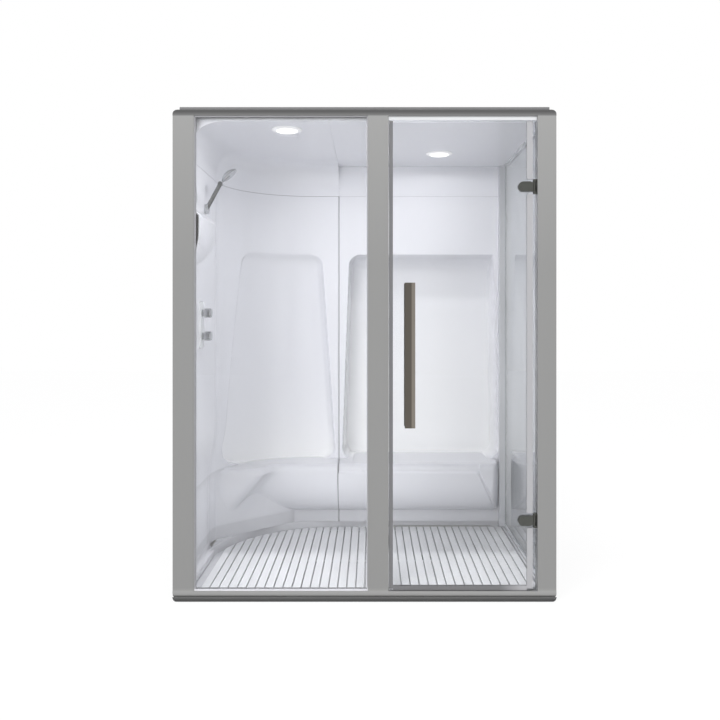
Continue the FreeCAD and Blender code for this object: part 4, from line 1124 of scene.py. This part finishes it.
def floor():
    """A white floor that keeps the cabin's shadow."""
    corners = [(-FLOOR_HALF, -FLOOR_HALF, 0), (FLOOR_HALF, -FLOOR_HALF, 0),
               (FLOOR_HALF, FLOOR_HALF, 0), (-FLOOR_HALF, FLOOR_HALF, 0)]
    mesh = bpy.data.meshes.new("floor")
    mesh.from_pydata(corners, [], [(0, 1, 2, 3)])
    ground = bpy.data.objects.new("floor", mesh)
    bpy.context.scene.collection.objects.link(ground)
    material, shader = start_material("floor_white", roughness=0.9)
    tint(material, shader, noise(material, scale=0.5), dark=FLOOR_DARK, light=FLOOR_LIGHT)
    tree = material.node_tree
    glow = tree.nodes.new("ShaderNodeEmission")
    lit = tree.nodes.new("ShaderNodeMixShader")
    lit.inputs["Fac"].default_value = FLOOR_GLOW_SHARE
    choice = tree.nodes.new("ShaderNodeMixShader")
    tree.links.new(shader.outputs["BSDF"], lit.inputs[1])
    tree.links.new(glow.outputs["Emission"], lit.inputs[2])
    tree.links.new(plain_path(tree), choice.inputs["Fac"])
    tree.links.new(shader.outputs["BSDF"], choice.inputs[1])
    tree.links.new(lit.outputs["Shader"], choice.inputs[2])
    tree.links.new(choice.outputs["Shader"], tree.nodes["Material Output"].inputs["Surface"])
    mesh.materials.append(material)


FRONT_LIGHT = (2.05, 2.05, 2.07)
REST_LIGHT = (0.75, 0.75, 0.76)
FRONT_DIRECTION = (0, -0.93, 0.37)
FRONT_EDGE = 0.3


def surround():
    """White all round to the eye and in mirrors; soft light from everywhere, more of it from the front."""
    world = bpy.data.worlds.new("surround")
    world.use_nodes = True
    tree = world.node_tree
    light = tree.nodes["Background"]
    white = tree.nodes.new("ShaderNodeBackground")
    white.inputs["Color"].default_value = (1, 1, 1, 1)
    place = tree.nodes.new("ShaderNodeTexCoord")
    towards = tree.nodes.new("ShaderNodeVectorMath")
    towards.operation = "DOT_PRODUCT"
    towards.inputs[1].default_value = FRONT_DIRECTION
    facing = tree.nodes.new("ShaderNodeMapRange")
    facing.inputs["From Min"].default_value = FRONT_EDGE
    facing.interpolation_type = "SMOOTHSTEP"
    shades = tree.nodes.new("ShaderNodeValToRGB")
    shades.color_ramp.elements[0].color = (*REST_LIGHT, 1)
    shades.color_ramp.elements[1].color = (*FRONT_LIGHT, 1)
    choice = tree.nodes.new("ShaderNodeMixShader")
    tree.links.new(place.outputs["Generated"], towards.inputs[0])
    tree.links.new(towards.outputs["Value"], facing.inputs["Value"])
    tree.links.new(facing.outputs["Result"], shades.inputs["Fac"])
    tree.links.new(shades.outputs["Color"], light.inputs["Color"])
    tree.links.new(plain_path(tree), choice.inputs["Fac"])
    tree.links.new(light.outputs["Background"], choice.inputs[1])
    tree.links.new(white.outputs["Background"], choice.inputs[2])
    tree.links.new(choice.outputs["Shader"], tree.nodes["World Output"].inputs["Surface"])
    bpy.context.scene.world = world


def lamp(name, place, target, size, power):
    """A soft lamp aimed at a point."""
    data = bpy.data.lights.new(name, "AREA")
    data.size = size
    data.energy = power
    item = bpy.data.objects.new(name, data)
    item.location = place
    item.rotation_euler = (Vector(target) - Vector(place)).to_track_quat("-Z", "Y").to_euler()
    bpy.context.scene.collection.objects.link(item)
    return item


def unmirrored(item):
    """Keeps a lamp itself out of the panes and the plated parts."""
    item.visible_camera = False
    item.visible_glossy = False
    item.visible_transmission = False


KEY_PLACE = (0.03, -1.95, 6.8)
KEY_TARGET = (0.03, -0.45, 0)
KEY_WIDTH = 1.4
KEY_DEPTH = 0.15
KEY_POWER = 180
FILL_PLACE = (-1.9, -4.4, 2.2)
FILL_TARGET = (0.4, 0.4, 0.8)
FILL_SIZE = 1.5
FILL_POWER = 60
DOWNLIGHT_POWER = 2.2
DOWNLIGHT_DROP = 0.03


def lamps():
    """A lamp high over the front, a soft one from the front on the left, and the cabin's own downlights."""
    key = lamp("key", KEY_PLACE, KEY_TARGET, KEY_WIDTH, KEY_POWER)
    key.data.shape = "RECTANGLE"
    key.data.size_y = KEY_DEPTH
    unmirrored(key)
    unmirrored(lamp("fill", FILL_PLACE, FILL_TARGET, FILL_SIZE, FILL_POWER))
    for side in ("left", "right"):
        centre, radius = light_place(side)
        under = centre - Vector((0, 0, DOWNLIGHT_DROP))
        item = lamp(f"{side}_downlight", under, under - Vector((0, 0, 1)), 2 * radius, DOWNLIGHT_POWER)
        item.data.shape = "DISK"
        unmirrored(item)
        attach(item, "cabin")


# The photograph's level camera: where it stands, and where the middle of its view lies in the picture.
CAMERA_PLACE = (0.031, -4.017, 1.259)
FOCAL_PIXELS = 755.0
PICTURE_PIXELS = 720.0
VANISHING_PIXEL = (371.5, 318.0)
SENSOR = 36.0


def camera():
    """A level camera that looks straight at the front."""
    data = bpy.data.cameras.new("camera")
    data.sensor_width = SENSOR
    data.lens = FOCAL_PIXELS / PICTURE_PIXELS * SENSOR
    data.shift_x = (PICTURE_PIXELS / 2 - VANISHING_PIXEL[0]) / PICTURE_PIXELS
    data.shift_y = (VANISHING_PIXEL[1] - PICTURE_PIXELS / 2) / PICTURE_PIXELS
    item = bpy.data.objects.new("camera", data)
    item.location = CAMERA_PLACE
    item.rotation_euler = (math.pi / 2, 0, 0)
    bpy.context.scene.collection.objects.link(item)
    bpy.context.scene.camera = item


right_seat_shell()
corner_seat_shell()
left_wall_shell()
foot_strip()
ceiling_left_shell()
sealant()
slat_pieces()
skirt()
knob_pieces()
dress_solids()
floor()
surround()
lamps()
camera()
bpy.context.scene.view_settings.view_transform = "Standard"
